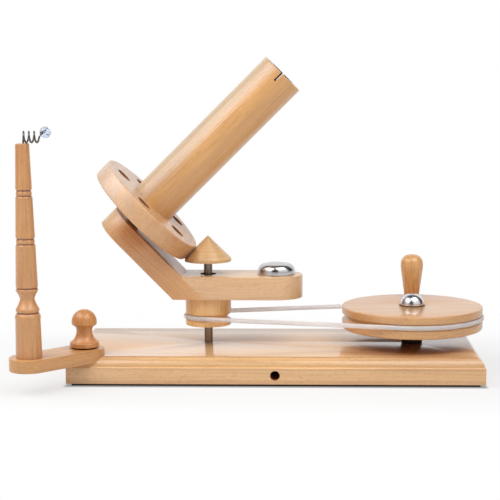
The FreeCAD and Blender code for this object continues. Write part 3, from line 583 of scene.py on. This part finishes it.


# A wood is given its middle, the way of its grain, the way that its face looks, and its tones.
# Bands of painted shade and a painted highlight lie on the base's moulding, and painted shade lies
# in the post's grooves.
finishes = {
    "board_wood": beech("base_beech", (0, 0, 20), (1, 0, 0), (0, 0, 1),
                        *tones((0.720, 0.432, 0.202)), pith=(20, -120), gloss=0.9, haze=0.13,
                        sway=7, streak=0.25,
                        # Painted shade under the wheel, on the top in front of its axle and on the
                        # moulding in front of it, and a paler, bluer tint at the front left corner.
                        painted_light_patches=[((165, -86, 5), (75, 40, 8), (0.90, 0.87, 0.83)),
                                 ((-190, -85, -8), (50, 30, 13), (1.05, 1.09, 1.16)),
                                 ((146, -42, 10), (76, 38, 6), (0.74, 0.56, 0.42))],
                        # Painted shade in the step at the top, over the quarter round and at its
                        # foot, under the ledge and low on the front face, and a painted highlight
                        # on the ledge.
                        painted_light_bands=[(29.7, 0.6, (0.92, 0.88, 0.84)), (26.3, 1.5, (0.88, 0.83, 0.74)),
                               (22.0, 1.0, (0.95, 0.94, 0.93)), (20.4, 0.7, (1.18, 1.18, 1.12)),
                               (18.4, 0.9, (0.90, 0.88, 0.87)),
                               (5.0, 2.4, (0.92, 0.88, 0.86))]),
    "wheel_wood": beech("wheel_beech", (wheel_x, 0, 59), (1, 0.15, 0), (0, 0, 1),
                        *tones((0.611, 0.322, 0.126)), pith=(-30, -80), haze=0.17, sway=10),
    "arm_wood": beech("arm_beech", (shaft_x, 0, 93), (1, 0, 0), (0, 0, 1),
                      *tones((0.728, 0.462, 0.247)), pith=(25, -60), haze=0.17, streak=0.25,
                      dash=0.12),
    "disc_wood": beech("disc_beech", disc_foot, (0.06, 1, 0.04), spindle,
                       *tones((0.699, 0.405, 0.198)), pith=(-13, 34), ring=2.3, figure=1.25,
                       end_shade=0.0,
                       # Painted shade over the lower right of the disc, and a painted highlight,
                       # paler and bluer, over its upper left.
                       painted_light_patches=[((0, -48, 8), (90, 42, 40), (0.92, 0.84, 0.77)),
                                ((0, 62, 10), (90, 62, 40), (0.93, 1.12, 1.60))]),
    "tube_wood": beech("tube_beech", disc_foot, spindle, (0, 1, 0), *tones((0.656, 0.340, 0.116)),
                       pith=(10, -34), gloss=1.0, figure=0.35, streak=0.45,
                       # Painted highlight along the upper left side of the tube: a broad pale
                       # sheen, and a brighter strip at its edge.
                       painted_light_patches=[((110, -27, -6), (400, 22, 60), (0.76, 0.88, 1.25)),
                                ((110, -25, -4), (400, 8, 16), (1.12, 1.32, 1.55))]),
    "turned_wood": beech("turned_beech", (shaft_x, 0, 0), (0, 0, 1), (0, 1, 0),
                         *tones((0.850, 0.516, 0.210)), pith=(8, -40), figure=0.35, streak=0.6),
    "cone_wood": beech("cone_beech", (shaft_x, 0, 0), (1, 0.4, 0), (0, 0, 1),
                       *tones((0.605, 0.347, 0.139)), pith=(8, -20), figure=0.6,
                       # Painted light on the right flank of the cone.
                       painted_light_patches=[((16, 0, 126), (18, 40, 30), (1.13, 1.20, 1.26))]),
    "post_wood": beech("post_beech", post_axis, (0, 0, 1), (0.3, 1, 0),
                       *tones((0.604, 0.294, 0.109)), pith=(9, -30), figure=0.4, streak=0.6,
                       # Painted shade in the grooves of the post.
                       painted_light_bands=[(level, 0.9, (0.55, 0.42, 0.36)) for level in
                              (83.1, 107.9, 151.9, 157.1, 199.9, 205.1)]),
    "handle_wood": beech("handle_beech", handle_axis, (0, 0, 1), (0.6, 1, 0),
                         *tones((0.660, 0.313, 0.103)), pith=(6, -22), figure=0.4, streak=0.8,
                         # Painted highlight on the upper part of the grip.
                         painted_light_patches=[((108, 0, 0), (26, 40, 40), (1.08, 1.20, 1.32))]),
    "knob_wood": beech("knob_beech", pivot, (0, 0, 1), (-0.5, 1, 0),
                       *tones((0.613, 0.261, 0.071)), pith=(8, -24), figure=0.4, streak=0.6),
    "dowel_wood": beech("dowel_beech", board_top, spindle, (0, 1, 0),
                        *tones((0.56, 0.35, 0.18))),
    # The tilted board is darker than the level board, as painted shade from the disc above it.
    "tilted_wood": beech("tilted_beech", board_top, across, spindle,
                         *tones((0.603, 0.301, 0.120)), pith=(20, -70), end_shade=0.0,
                         # Painted shadow of the disc on the front side, and painted light, paler
                         # and bluer, on the round upper end and on the lower end.
                         painted_light_patches=[((8, -29, -9), (22, 30, 12), (0.86, 0.66, 0.40)),
                                  ((-30, 0, -12), (20, 60, 40), (1.09, 1.39, 1.83)),
                                  ((138, 0, -12), (75, 60, 60), (1.20, 1.32, 1.29))]),
    "guide_wood": beech("guide_beech", pivot, (math.cos(guide_turn), math.sin(guide_turn), 0),
                        (0, 0, 1), *tones((0.600, 0.300, 0.102)), pith=(14, -50)),
    # Raw end grain in the drilled walls, darkened further as painted shade.
    "drilled_wood": moulded("drilled_beech", shade(160, 104, 65), 0.85, grain=500,
                            relief=0.0001),
    # Painted shade: near-black walls in the tube's bore and slot and in the recess round the shaft.
    "dark_bore": moulded("painted_shade_bore", shade(46, 25, 14), 0.85, grain=500, relief=0.0001),
    "washer_steel": machined("dull_washer_steel", shade(74, 66, 60), 0.35),
    "foot_rubber": moulded("pad_rubber", shade(78, 60, 50), 0.7),
    "shaft_steel": machined("ground_steel", shade(144, 132, 118), 0.3),
    "spring_steel": machined("black_spring_steel", shade(48, 47, 46), 0.38),
    "zinc_steel": machined("plated_steel", shade(188, 188, 190), 0.28),
    "wire_steel": machined("drawn_wire", shade(104, 98, 93), 0.25, lines=(3000, 900, 900)),
    "chrome": polished("polished_chrome", shade(206, 204, 204), roughness=0.2),
    "nut_chrome": polished("rubbed_chrome", shade(226, 226, 230), roughness=0.22),
    "bush_brass": machined("turned_brass", shade(206, 172, 104), 0.3),
    "black_plastic": moulded("dark_spacer", shade(44, 30, 22), 0.42, Specular_IOR_Level=0.2),
    "belt_rubber": moulded("milky_belt", shade(250, 246, 246), 0.5, grain=500,
                           Transmission_Weight=0.55, IOR=1.3),
    "bead_glass": clear_bead("bead_clear"),
}


# ---- base ----

def moulded_board():
    """Board with an eased lower face, a ledge, a quirk, a quarter round and a small step, mitred
    at the corners."""
    bm = bmesh.new()
    bmesh.ops.create_grid(bm, x_segments=1, y_segments=1, size=0.5)
    bmesh.ops.scale(bm, vec=(base_length, base_width, 1), verts=bm.verts)
    bmesh.ops.translate(bm, vec=(0, 0, base_bottom), verts=bm.verts)
    raised = bmesh.ops.extrude_face_region(bm, geom=bm.faces[:])
    top_verts = [g for g in raised["geom"] if isinstance(g, bmesh.types.BMVert)]
    top = [g for g in raised["geom"] if isinstance(g, bmesh.types.BMFace)]
    ease, quirk = 0.9, 0.45
    ledge_top = base_top - step_height - ovolo_height
    bmesh.ops.translate(bm, vec=(0, 0, ledge_top - base_bottom - ease), verts=top_verts)
    steps = round_steps(ease, ease, 4) + [(0.1, 0.0), (0.15, -quirk), (0.15, quirk)]
    steps += round_steps(ovolo_width, ovolo_height, 8)
    for inward, upward in steps:
        bmesh.ops.inset_region(bm, faces=top, thickness=inward, depth=upward,
                               use_even_offset=True)
    last = bmesh.ops.extrude_face_region(bm, geom=top)
    bmesh.ops.delete(bm, geom=top, context="FACES_ONLY")
    top_verts = [g for g in last["geom"] if isinstance(g, bmesh.types.BMVert)]
    bmesh.ops.translate(bm, vec=(0, 0, step_height), verts=top_verts)
    bmesh.ops.recalc_face_normals(bm, faces=bm.faces)
    return bm


def round_steps(inward, upward, count):
    """Inset and rise of each step of a round that starts upright."""
    radius = (inward ** 2 + upward ** 2) / (2 * inward)
    sweep = math.asin(min(1, upward / radius))
    angles = [sweep * i / count for i in range(count + 1)]
    return [(radius * (math.cos(a) - math.cos(b)), radius * (math.sin(b) - math.sin(a)))
            for a, b in zip(angles, angles[1:])]


pocket_floor = guide_bottom - 0.3
pocket = [turned_in_plan(bar(guide_width + 0.6, guide_reach, 30), turn,
                         Vector((pivot.x, pivot.y, pocket_floor)))
          for turn in (guide_turn, guide_turn - guide_swing)]
clamp_hole = rod(clamp_hole_diameter, Vector((0, -base_width / 2 - 5, clamp_hole_height)),
                 Vector((0, 1, 0)), clamp_hole_depth + 5)
wells = [upright(insert_diameter, pivot, pocket_floor - insert_length, insert_length + 6)]
for axis, diameter in ((shaft_axis, shaft_diameter), (wheel_axis, wheel_axle_diameter)):
    wells += [upright(diameter, axis, 0, 40), upright(nut_well_ratio * diameter, axis, -1, 13)]
piece_of(moulded_board(), "moulded_base", "base", finishes["board_wood"],
         ["base_board"], edge=0.3, cutters=pocket + wells, bores=[clamp_hole],
         wall="drilled_wood")


def grooved(diameter, height, groove, opening, depth, edge, bore):
    """Turned wheel with a V groove round its rim and a bore, its foot at nought. The groove is a
    height."""
    rim = diameter / 2
    slack = edge * (1 - math.sqrt(0.5))
    return lathe(outline((bore / 2, 0), [
        (rim - edge, 0),
        (rim - slack, slack, rim, edge),
        (rim, groove - opening / 2),
        (rim - depth, groove),
        (rim, groove + opening / 2),
        (rim, height - edge),
        (rim - slack, height - slack, rim - edge, height),
        (bore / 2, height),
    ]))


def friction_cone():
    """Cone with a short rim and a rounded tip, as steep as the disc that rolls on it."""
    tip = cone_tip * math.cos(lean)
    top = cone_rim + (cone_radius - tip) / math.tan(lean)
    return lathe(outline((0, 0), [
        (cone_radius, 0), (cone_radius, cone_rim), (tip, top),
        crown(tip, top, top + cone_tip * (1 - math.sin(lean))),
    ]))


piece_of(stand(friction_cone(), Vector((shaft_x, 0, cone_bottom))), "turned_cone", "base",
         finishes["cone_wood"], ["friction_cone"], edge=0.4,
         cutters=[upright(shaft_diameter, shaft_axis, cone_bottom - 1, 18)])


def domed_nut():
    """Domed nut, nearly half a ball."""
    return lathe(outline((0, 0), [
        (12.3, 0), (12.6, 0.25), (11.75, 5.6, 9.1, 9.3), (4.9, 11.7, 0, 12.3),
    ], fine=18))


nut_bottom = wheel_top + washer_gap + upper_washer_thickness
piece_of(stand(domed_nut(), Vector((wheel_x, 0, nut_bottom))), "wheel_dome_nut", "base",
         finishes["nut_chrome"], ["dome_nut"],
         cutters=[upright(wheel_axle_diameter, wheel_axis, wheel_top, 8.3)])


def flat_washer(diameter, thickness, bottom):
    """Washer on the wheel's axle, as a mesh, with its edges eased."""
    rim, bore, ease = diameter / 2, wheel_axle_diameter / 2, 0.15
    bm = lathe(outline((bore, 0), [
        (rim - ease, 0), (rim, ease), (rim, thickness - ease), (rim - ease, thickness),
        (bore, thickness),
    ]), count=96)
    bmesh.ops.translate(bm, vec=(0, 0, bottom), verts=bm.verts)
    mesh = bpy.data.meshes.new("washer")
    bm.to_mesh(mesh)
    bm.free()
    return mesh


washers = bmesh.new()
for washer in (
        flat_washer(27.6, upper_washer_thickness, wheel_top + washer_gap),
        flat_washer(22, lower_washer_thickness, wheel_bottom - 0.3 - lower_washer_thickness)):
    washers.from_mesh(washer)
    bpy.data.meshes.remove(washer)
piece_of(stand(washers, wheel_axis), "wheel_washers", "base",
         finishes["washer_steel"], ["axle_washers"])


def drawn(bm, edges, step, count):
    """Draw an open ring of edges along a straight step, and give the ring that it ends in."""
    for _ in range(count):
        out = bmesh.ops.extrude_edge_only(bm, edges=edges)["geom"]
        bmesh.ops.translate(bm, vec=step / count,
                            verts=[g for g in out if isinstance(g, bmesh.types.BMVert)])
        edges = [g for g in out if isinstance(g, bmesh.types.BMEdge)]
    return edges


def swept(bm, edges, centre, axis, angle, count, rise=(0, 0, 0)):
    """Sweep a ring of edges about an axis, with a rise at each step, and give the last ring."""
    verts = list(dict.fromkeys(v for e in edges for v in e.verts))
    last = bmesh.ops.spin(bm, geom=verts + edges, cent=centre, axis=axis, angle=angle,
                          steps=count, dvec=rise)["geom_last"]
    return [g for g in last if isinstance(g, bmesh.types.BMEdge)]


def belt_loop():
    """Round belt: a ring drawn along the front run, round the wheel, back, and round the pulley."""
    small, large = belt_on_pulley, belt_on_wheel
    slope = math.asin((large - small) / (wheel_x - shaft_x))
    front = Vector((-math.sin(slope), -math.cos(slope), 0))
    back = Vector((-math.sin(slope), math.cos(slope), 0))
    near = Vector((shaft_x, 0, belt_level))
    far = Vector((wheel_x, 0, belt_level))
    run = (far + front * large) - (near + front * small)
    bm = bmesh.new()
    bmesh.ops.create_circle(bm, segments=20, radius=belt_diameter / 2)
    turn = run.to_track_quat("Z", "Y").to_matrix().to_4x4()
    bmesh.ops.transform(bm, matrix=Matrix.Translation(near + front * small) @ turn,
                        verts=bm.verts)
    loop = drawn(bm, bm.edges[:], run, 6)
    loop = swept(bm, loop, far, UP, math.pi + 2 * slope, 72)
    loop = drawn(bm, loop, (near + back * small) - (far + back * large), 6)
    swept(bm, loop, near, UP, math.pi - 2 * slope, 36)
    bmesh.ops.remove_doubles(bm, verts=bm.verts, dist=0.02)
    bmesh.ops.recalc_face_normals(bm, faces=bm.faces)
    return bm


piece_of(belt_loop(), "round_belt", "base", finishes["belt_rubber"],
         ["drive_belt"])

# ---- crank wheel and handle ----

wheel = grooved(wheel_diameter, wheel_top - wheel_bottom, groove=belt_level - wheel_bottom,
                opening=7.8, depth=5.5, edge=1.5, bore=16)
piece_of(stand(wheel, Vector((wheel_x, 0, wheel_bottom))), "crank_wheel", "wheel",
         finishes["wheel_wood"], ["drive_wheel"], edge=0.5,
         cutters=[upright(handle_bolt_diameter + 0.1, handle_axis, wheel_bottom - 2, 30),
                  upright(2 * handle_bolt_diameter, handle_axis, wheel_bottom - 2, 8)])


def pear_grip():
    """Pear-shaped grip, widest near its top."""
    return lathe(outline((0, 0), [
        (7.5, 0), (8, 0.5), (12.05, 30), (12.4, 34, 12.15, 37.5),
        (10.1, 42.6, 5.5, 45.7), crown(5.5, 45.7, 46.5),
    ], fine=10), count=96)


piece_of(stand(pear_grip(), handle_axis + UP * handle_bottom), "pear_handle", "handle",
         finishes["handle_wood"], ["crank_handle"], edge=0.3,
         cutters=[upright(handle_bolt_diameter, handle_axis, handle_bottom - 1, 21),
                  upright(handle_insert_diameter, handle_axis, handle_bottom - 1, 13)])

# ---- winding head ----

pulley = grooved(pulley_diameter, arm_bottom - pulley_bottom, groove=belt_level - pulley_bottom,
                 opening=7.5, depth=4.6, edge=0.6, bore=head_bush_diameter)
piece_of(stand(pulley, Vector((shaft_x, 0, pulley_bottom))), "turned_pulley", "head",
         finishes["turned_wood"], ["drive_pulley"], edge=0.4,
         cutters=[upright(8.2, Vector((shaft_x + side * 14, 0, 0)), pulley_bottom - 1, 1.6)
                  for side in (-1, 1)])


def bush_bore():
    """Bore for the upper bush, right through both boards."""
    return upright(head_bush_diameter, shaft_axis, arm_bottom - 5, 34)


level_board = stand(bar(arm_width, arm_reach, arm_thickness), Vector((arm_start, 0, arm_bottom)))
keep_side(level_board, board_top - spindle * shaved, -spindle)
piece_of(level_board, "level_board", "head", finishes["arm_wood"], ["arm_beam"],
         edge=1.1,
         cutters=[bush_bore(), upright(weight_screw_head, weight_axis, arm_bottom - 1, 7)],
         bores=[upright(shaft_recess_diameter, shaft_axis, arm_top - shaft_recess_depth, 6)])

tilted_board = bar(arm_width, tilted_reach, arm_thickness - shaved)
bmesh.ops.translate(tilted_board, vec=(0, 0, -arm_thickness), verts=tilted_board.verts)
stand(tilted_board, board_top + across * tilted_start, spindle)
keep_side(tilted_board, Vector((0, 0, arm_bottom)), -UP)
axle_foot = board_top - spindle * arm_thickness
piece_of(tilted_board, "tilted_board", "head", finishes["tilted_wood"],
         ["spindle_arm"], edge=1.1,
         cutters=[bush_bore(), rod(spindle_axle_head, axle_foot - spindle, spindle, 6),
                  rod(spindle_axle_diameter, axle_foot, spindle, 30)])


def polished_weight():
    """Polished weight: a straight band under a low crown."""
    return lathe(outline((0, 0), [
        (19.6, 0), (20, 0.4), (20, 4.5), (17.61, 9.52, 11.835, 11.6),
        crown(11.835, 11.6, 13),
    ], fine=14))


piece_of(stand(polished_weight(), weight_axis + UP * arm_top), "polished_weight", "head",
         finishes["chrome"], ["counterweight"])

# ---- spindle ----

disc = lathe(outline((8, shaved), [
    (63.5, shaved), (64.7, 1.4, 65.2, 2.6), (65.2, 19.5), (64.7, 20.5, 63.6, 21),
    (22.04, 21), (22.04, tube_seat), (8, tube_seat),
]))
holes = []
for angle in disc_hole_angles:
    turn = math.radians(angle)
    foot = Vector((disc_hole_circle * math.cos(turn), disc_hole_circle * math.sin(turn), -2))
    holes.append(stand(rod(disc_hole_diameter, foot, UP, 26), disc_foot, spindle))
piece_of(stand(disc, disc_foot, spindle), "rolling_disc", "spindle",
         finishes["disc_wood"], ["friction_disc"], edge=0.5, bores=holes, wall="drilled_wood")

sleeve = lathe(outline((4, 0), [
    (7.6, 0), (8, 0.4), (8, 10.1), (7.6, 10.5), (4, 10.5),
]), count=64)
piece_of(stand(sleeve, board_top - spindle * shaved, spindle), "dark_sleeve", "head",
         finishes["black_plastic"], ["spindle_spacer"])

tube = lathe(outline((0, 0), [
    (22, 0), (22, 8), (25, 8), (25, 202.2), (24.766, 202.766, 24.2, tube_length),
    (0, tube_length),
], fine=4))
tube_foot = disc_foot + spindle * tube_seat
kerf = bmesh.new()
bmesh.ops.create_cube(kerf, size=1)
bmesh.ops.scale(kerf, vec=(kerf_width, 80, 2 * kerf_depth), verts=kerf.verts)
bmesh.ops.translate(kerf, vec=(0, 0, tube_length), verts=kerf.verts)
bmesh.ops.rotate(kerf, matrix=Matrix.Rotation(kerf_turn, 3, "Z"), verts=kerf.verts)
piece_of(stand(tube, tube_foot, spindle), "turned_tube", "spindle",
         finishes["tube_wood"], ["winding_tube"],
         bores=[rod(tube_bore, tube_foot - spindle, spindle, tube_length + 3, 96),
                stand(kerf, tube_foot, spindle)])

# ---- yarn guide ----

guide_board = turned_in_plan(bar(guide_width, guide_reach, guide_top - guide_bottom), guide_turn,
                             Vector((pivot.x, pivot.y, guide_bottom)))
piece_of(guide_board, "swing_board", "guide_arm", finishes["guide_wood"],
         ["guide_arm"], edge=1.2,
         cutters=[upright(clamp_bolt_diameter + 0.1, pivot, guide_bottom - 1, 16),
                  upright(post_screw_head, post_axis, guide_bottom - 1, 1.6)])


def post_radius(height):
    """Radius of the tapered post."""
    return post_foot_radius - post_taper * height / post_height


def turned_joint(height):
    """Turned bead between two grooves."""
    low, high = height - 5.5, height + 5.5
    groove_low, groove_high = height - 2.64, height + 2.64
    rounding, groove_depth, bead_depth = 0.3, 1.2, 0.35
    return [
        (post_radius(low), low),
        (post_radius(low) - rounding, (2 * groove_low + low) / 3,
         post_radius(low) - groove_depth, groove_low),
        (post_radius(height) - bead_depth, height, post_radius(high) - groove_depth, groove_high),
        (post_radius(high) - rounding, (2 * groove_high + high) / 3, post_radius(high), high),
    ]


def turned_post():
    """Post with a plain foot, a vase, and three tapered lengths parted by beads."""
    steps = [
        (12.9, 0), (post_foot_radius, 0.3), (12.5, 39), (11.8, 44.4, 10.6, 45.6),
        (11.8, 48, 11.2, 50.4), (9.132, 54.04, 7.2, 59.5),
        (8.58, 63.325, post_radius(68) - 0.6, 66.8),
        (post_radius(68), 68, post_radius(68) - 1.2, 70.25),
        (post_radius(72.5) - 0.3, 71.3, post_radius(72.5), 72.5),
    ]
    steps += turned_joint(117) + turned_joint(165)
    steps += [(post_radius(213.2), 213.2), (6.62, 213.77, 6.05, post_height), (0, post_height)]
    return lathe(outline((0, 0), steps), count=96)


piece_of(stand(turned_post(), post_foot, post_lean), "turned_post", "guide_arm",
         finishes["post_wood"], ["guide_post"],
         cutters=[rod(wire + 0.08, leg_foot, UP, 20, 24)])


def coiled_wire():
    """Wire: a leg in the post, three turns, and an end that opens out into the bead."""
    leg = UP * (leg_depth - 1)
    bm = bmesh.new()
    bmesh.ops.create_circle(bm, cap_ends=True, segments=16, radius=wire / 2,
                            matrix=Matrix.Translation(leg_foot))
    loop = drawn(bm, bm.edges[:], leg, 1)
    loop = drawn(bm, loop, coil_start + Vector((0, coil_radius, 0)) - leg_foot - leg, 3)
    loop = swept(bm, loop, coil_start, (1, 0, 0), 2 * math.pi * coil_turns,
                 coil_steps * coil_turns, rise=(coil_pitch / coil_steps, 0, 0))
    loop = swept(bm, loop, coil_start, (1, 0, 0), end_turn, end_steps, rise=(end_rise, 0, 0))
    bmesh.ops.holes_fill(bm, edges=loop)
    bmesh.ops.recalc_face_normals(bm, faces=bm.faces)
    return bm


def bored_bead(diameter, bore):
    """Ball bead with a hole through it, on Z, about its middle."""
    ease = 0.2
    wall, mouth = bore / 2, bore / 2 + ease
    pole = ((diameter / 2) ** 2 - mouth ** 2) ** 0.5
    return lathe(outline((wall, -pole + ease), [
        (mouth, -pole), (diameter / 2, 0, mouth, pole), (wall, pole - ease),
    ], fine=40), count=64)


piece_of(coiled_wire(), "coiled_wire", "guide_arm", finishes["wire_steel"],
         ["pigtail_guide"])
piece_of(stand(bored_bead(bead_diameter, wire + 0.2), bead_place, Vector((0, -1, 0))),
         "glass_bead", "guide_arm", finishes["bead_glass"], ["guide_bead"])

# ---- clamp knob ----

knob = lathe(outline((0, 0), [
    (14.9, 0), (15.5, 0.6), (15.1, 3.8), (14.9, 4.6, 14.1, 5.0), (10.25, 9.2, 8.25, 16),
    (9.25, 20.4, 12.2, 22.6), (13.1, 24.0), (13.1, 25.7), crown(13.1, 25.7, 38.8),
], fine=12), count=96)
piece_of(stand(knob, pivot + UP * knob_bottom), "turned_knob", "clamp_knob",
         finishes["knob_wood"], ["clamp_knob"], edge=0.3,
         cutters=[upright(clamp_bolt_diameter, pivot, knob_bottom - 1, 21)])

# ---- finishes of the CAD nodes, by slot ----

for part in frame["record"]["subparts"]:
    node = frame["nodes"][part["node"]]
    node.data.materials.clear()
    node.data.materials.append(finishes[part["material_slot"]])
frame["nodes"]["clamp_washer"].data.materials[0] = finishes["washer_steel"]


# ---- floor, light and camera ----

def seen(f):
    """One for what the camera, a mirror or glass sees, and nought for light on the object."""
    path = f.node("ShaderNodeLightPath")
    camera, glossy, through = (Signal(f, path.socket.node.outputs[name]) for name in
                               ("Is Camera Ray", "Is Glossy Ray", "Is Transmission Ray"))
    return camera.maths("MAXIMUM", camera, glossy.maths("MAXIMUM", glossy, through))


def floor_paper():
    """White paper with a painted shadow round the base, besides the object's own shadow, and pure
    white further off.
    """
    f = Finish(bpy.data.materials.new("floor_paper"), Roughness=0.9)
    tone = f.noise(f.here(), scale=3, detail=2)
    away = f.node("ShaderNodeVectorMath", {0: f.stretched(f.here(), (1, 2, 1))}, output="Value",
                  operation="LENGTH")
    place = f.node("ShaderNodeSeparateXYZ", {0: f.here()})
    x, y = (Signal(f, place.socket.node.outputs[i]) for i in range(2))
    side = abs(x) - base_length / 2 * MM
    gap = side.maths("MAXIMUM", side, abs(y) - base_width / 2 * MM)

    # Painted shadow: dark right under the base, nearly full at its edge, and full 160 mm further
    # out.
    shadow = 0.42 + 0.51 * gap.over(-0.001, 0.004) + 0.07 * gap.over(0.01, 0.16)
    paper = f.blend(tone, (0.88, 0.88, 0.88, 1), (0.87, 0.87, 0.87, 1))
    f.feed(Base_Color=f.blend(shadow, (0, 0, 0, 1), paper))
    shine = f.node("ShaderNodeEmission", {"Color": f.blend(shadow, (0, 0, 0, 1), (1, 1, 1, 1))},
                   output="Emission")
    mixed = f.node("ShaderNodeMixShader", {0: seen(f) * (0.72 + 0.28 * away.over(0.2, 0.8))})
    f.tree.links.new(f.shader.outputs[0], mixed.socket.node.inputs[1])
    f.tree.links.new(shine.socket, mixed.socket.node.inputs[2])
    f.tree.links.new(mixed.socket, f.tree.nodes["Material Output"].inputs["Surface"])
    return f.owner


def softbox(name, place, size, power):
    """Soft light at a place, turned to the middle of the object."""
    lamp = bpy.data.lights.new(name, "AREA")
    lamp.shape = "RECTANGLE"
    lamp.size, lamp.size_y = size
    lamp.energy = power
    light = bpy.data.objects.new(name, lamp)
    light.location = place
    aim = Vector((0, 0, 0.1)) - Vector(place)
    light.rotation_euler = aim.to_track_quat("-Z", "Y").to_euler()
    bpy.context.scene.collection.objects.link(light)


def mirrored_only(stage_piece, finish):
    """Give a piece of the stage its finish, and let only reflections show it."""
    stage_piece.data.materials.append(finish)
    for ray in ("camera", "diffuse", "transmission", "shadow", "volume_scatter"):
        setattr(stage_piece, "visible_" + ray, False)


def studio():
    """Pale floor, white surroundings, and a soft lamp high on the left and on the right. Metal,
    glass and lacquer also mirror dark walls and two pale screens."""
    bm = bmesh.new()
    bmesh.ops.create_grid(bm, x_segments=1, y_segments=1, size=6000)
    floor = as_object(bm, "floor")
    floor.data.materials.append(floor_paper())

    world = bpy.data.worlds.new("studio")
    bpy.context.scene.world = world
    f = Finish(world)
    tone = f.blend(seen(f), (0.3, 0.3, 0.3, 1), (1, 1, 1, 1))
    f.tree.links.new(tone.socket, f.tree.nodes["Background"].inputs["Color"])

    softbox("left_box", (-1.0, -0.45, 1.3), (1.6, 0.9), 20)
    softbox("right_box", (0.55, -0.6, 1.4), (1.2, 1.0), 15)

    # The room is open behind the object and below it.
    room = bmesh.new()
    bmesh.ops.create_cube(room, size=1)
    bmesh.ops.scale(room, vec=(5600, 5600, 2600), verts=room.verts)
    bmesh.ops.translate(room, vec=(0, -1050, 1200), verts=room.verts)
    open_sides = [g for g in room.faces if g.normal.y > 0.5 or g.normal.z < -0.5]
    bmesh.ops.delete(room, geom=open_sides, context="FACES")
    mirrored_only(as_object(room, "studio_walls"),
                  moulded("dark_wall", (0.02, 0.02, 0.02, 1), 0.8, grain=20))
    glow = moulded("white_card", (0.02, 0.02, 0.02, 1), 0.8, grain=20,
                   Emission_Color=(1, 1, 1, 1), Emission_Strength=0.9)
    screen_reach = 1700
    for name, first, last in (("left_screen", 196, 240), ("right_screen", 283, 350)):
        screen = bmesh.new()
        foot = Matrix.Rotation(math.radians(first), 3, "Z") @ Vector((screen_reach, 0, 0))
        verts = [screen.verts.new(foot + Vector((0, 0, z))) for z in (150, 2200)]
        edge = screen.edges.new(verts)
        bmesh.ops.spin(screen, geom=verts + [edge], cent=(0, 0, 0), axis=UP,
                       angle=math.radians(last - first), steps=24)
        mirrored_only(as_object(screen, name), glow)


def photograph_camera():
    """Camera solved from the photograph, which is taken as 500 by 500."""
    yaw, pitch, roll = -0.0341, 0.1301, -0.0040
    focal_pixels, image_width, sensor = 1390.46, 500, 36
    eye = Vector((22.52, -1477.62, 324.10)) * MM
    ahead = Vector((math.sin(yaw) * math.cos(pitch), math.cos(yaw) * math.cos(pitch),
                    -math.sin(pitch)))
    right = Vector((math.cos(yaw), -math.sin(yaw), 0))
    up = right.cross(ahead)
    level_right = right * math.cos(roll) + up * math.sin(roll)
    level_up = up * math.cos(roll) - right * math.sin(roll)
    camera = bpy.data.objects.new("camera", bpy.data.cameras.new("camera"))
    camera.data.lens = sensor * focal_pixels / image_width
    camera.data.sensor_width = sensor
    camera.data.clip_end = 50
    turn = Matrix((level_right, level_up, -ahead)).transposed().to_4x4()
    camera.matrix_world = Matrix.Translation(eye) @ turn
    bpy.context.scene.collection.objects.link(camera)
    bpy.context.scene.camera = camera


studio()
photograph_camera()
bpy.context.scene.view_settings.view_transform = "Standard"
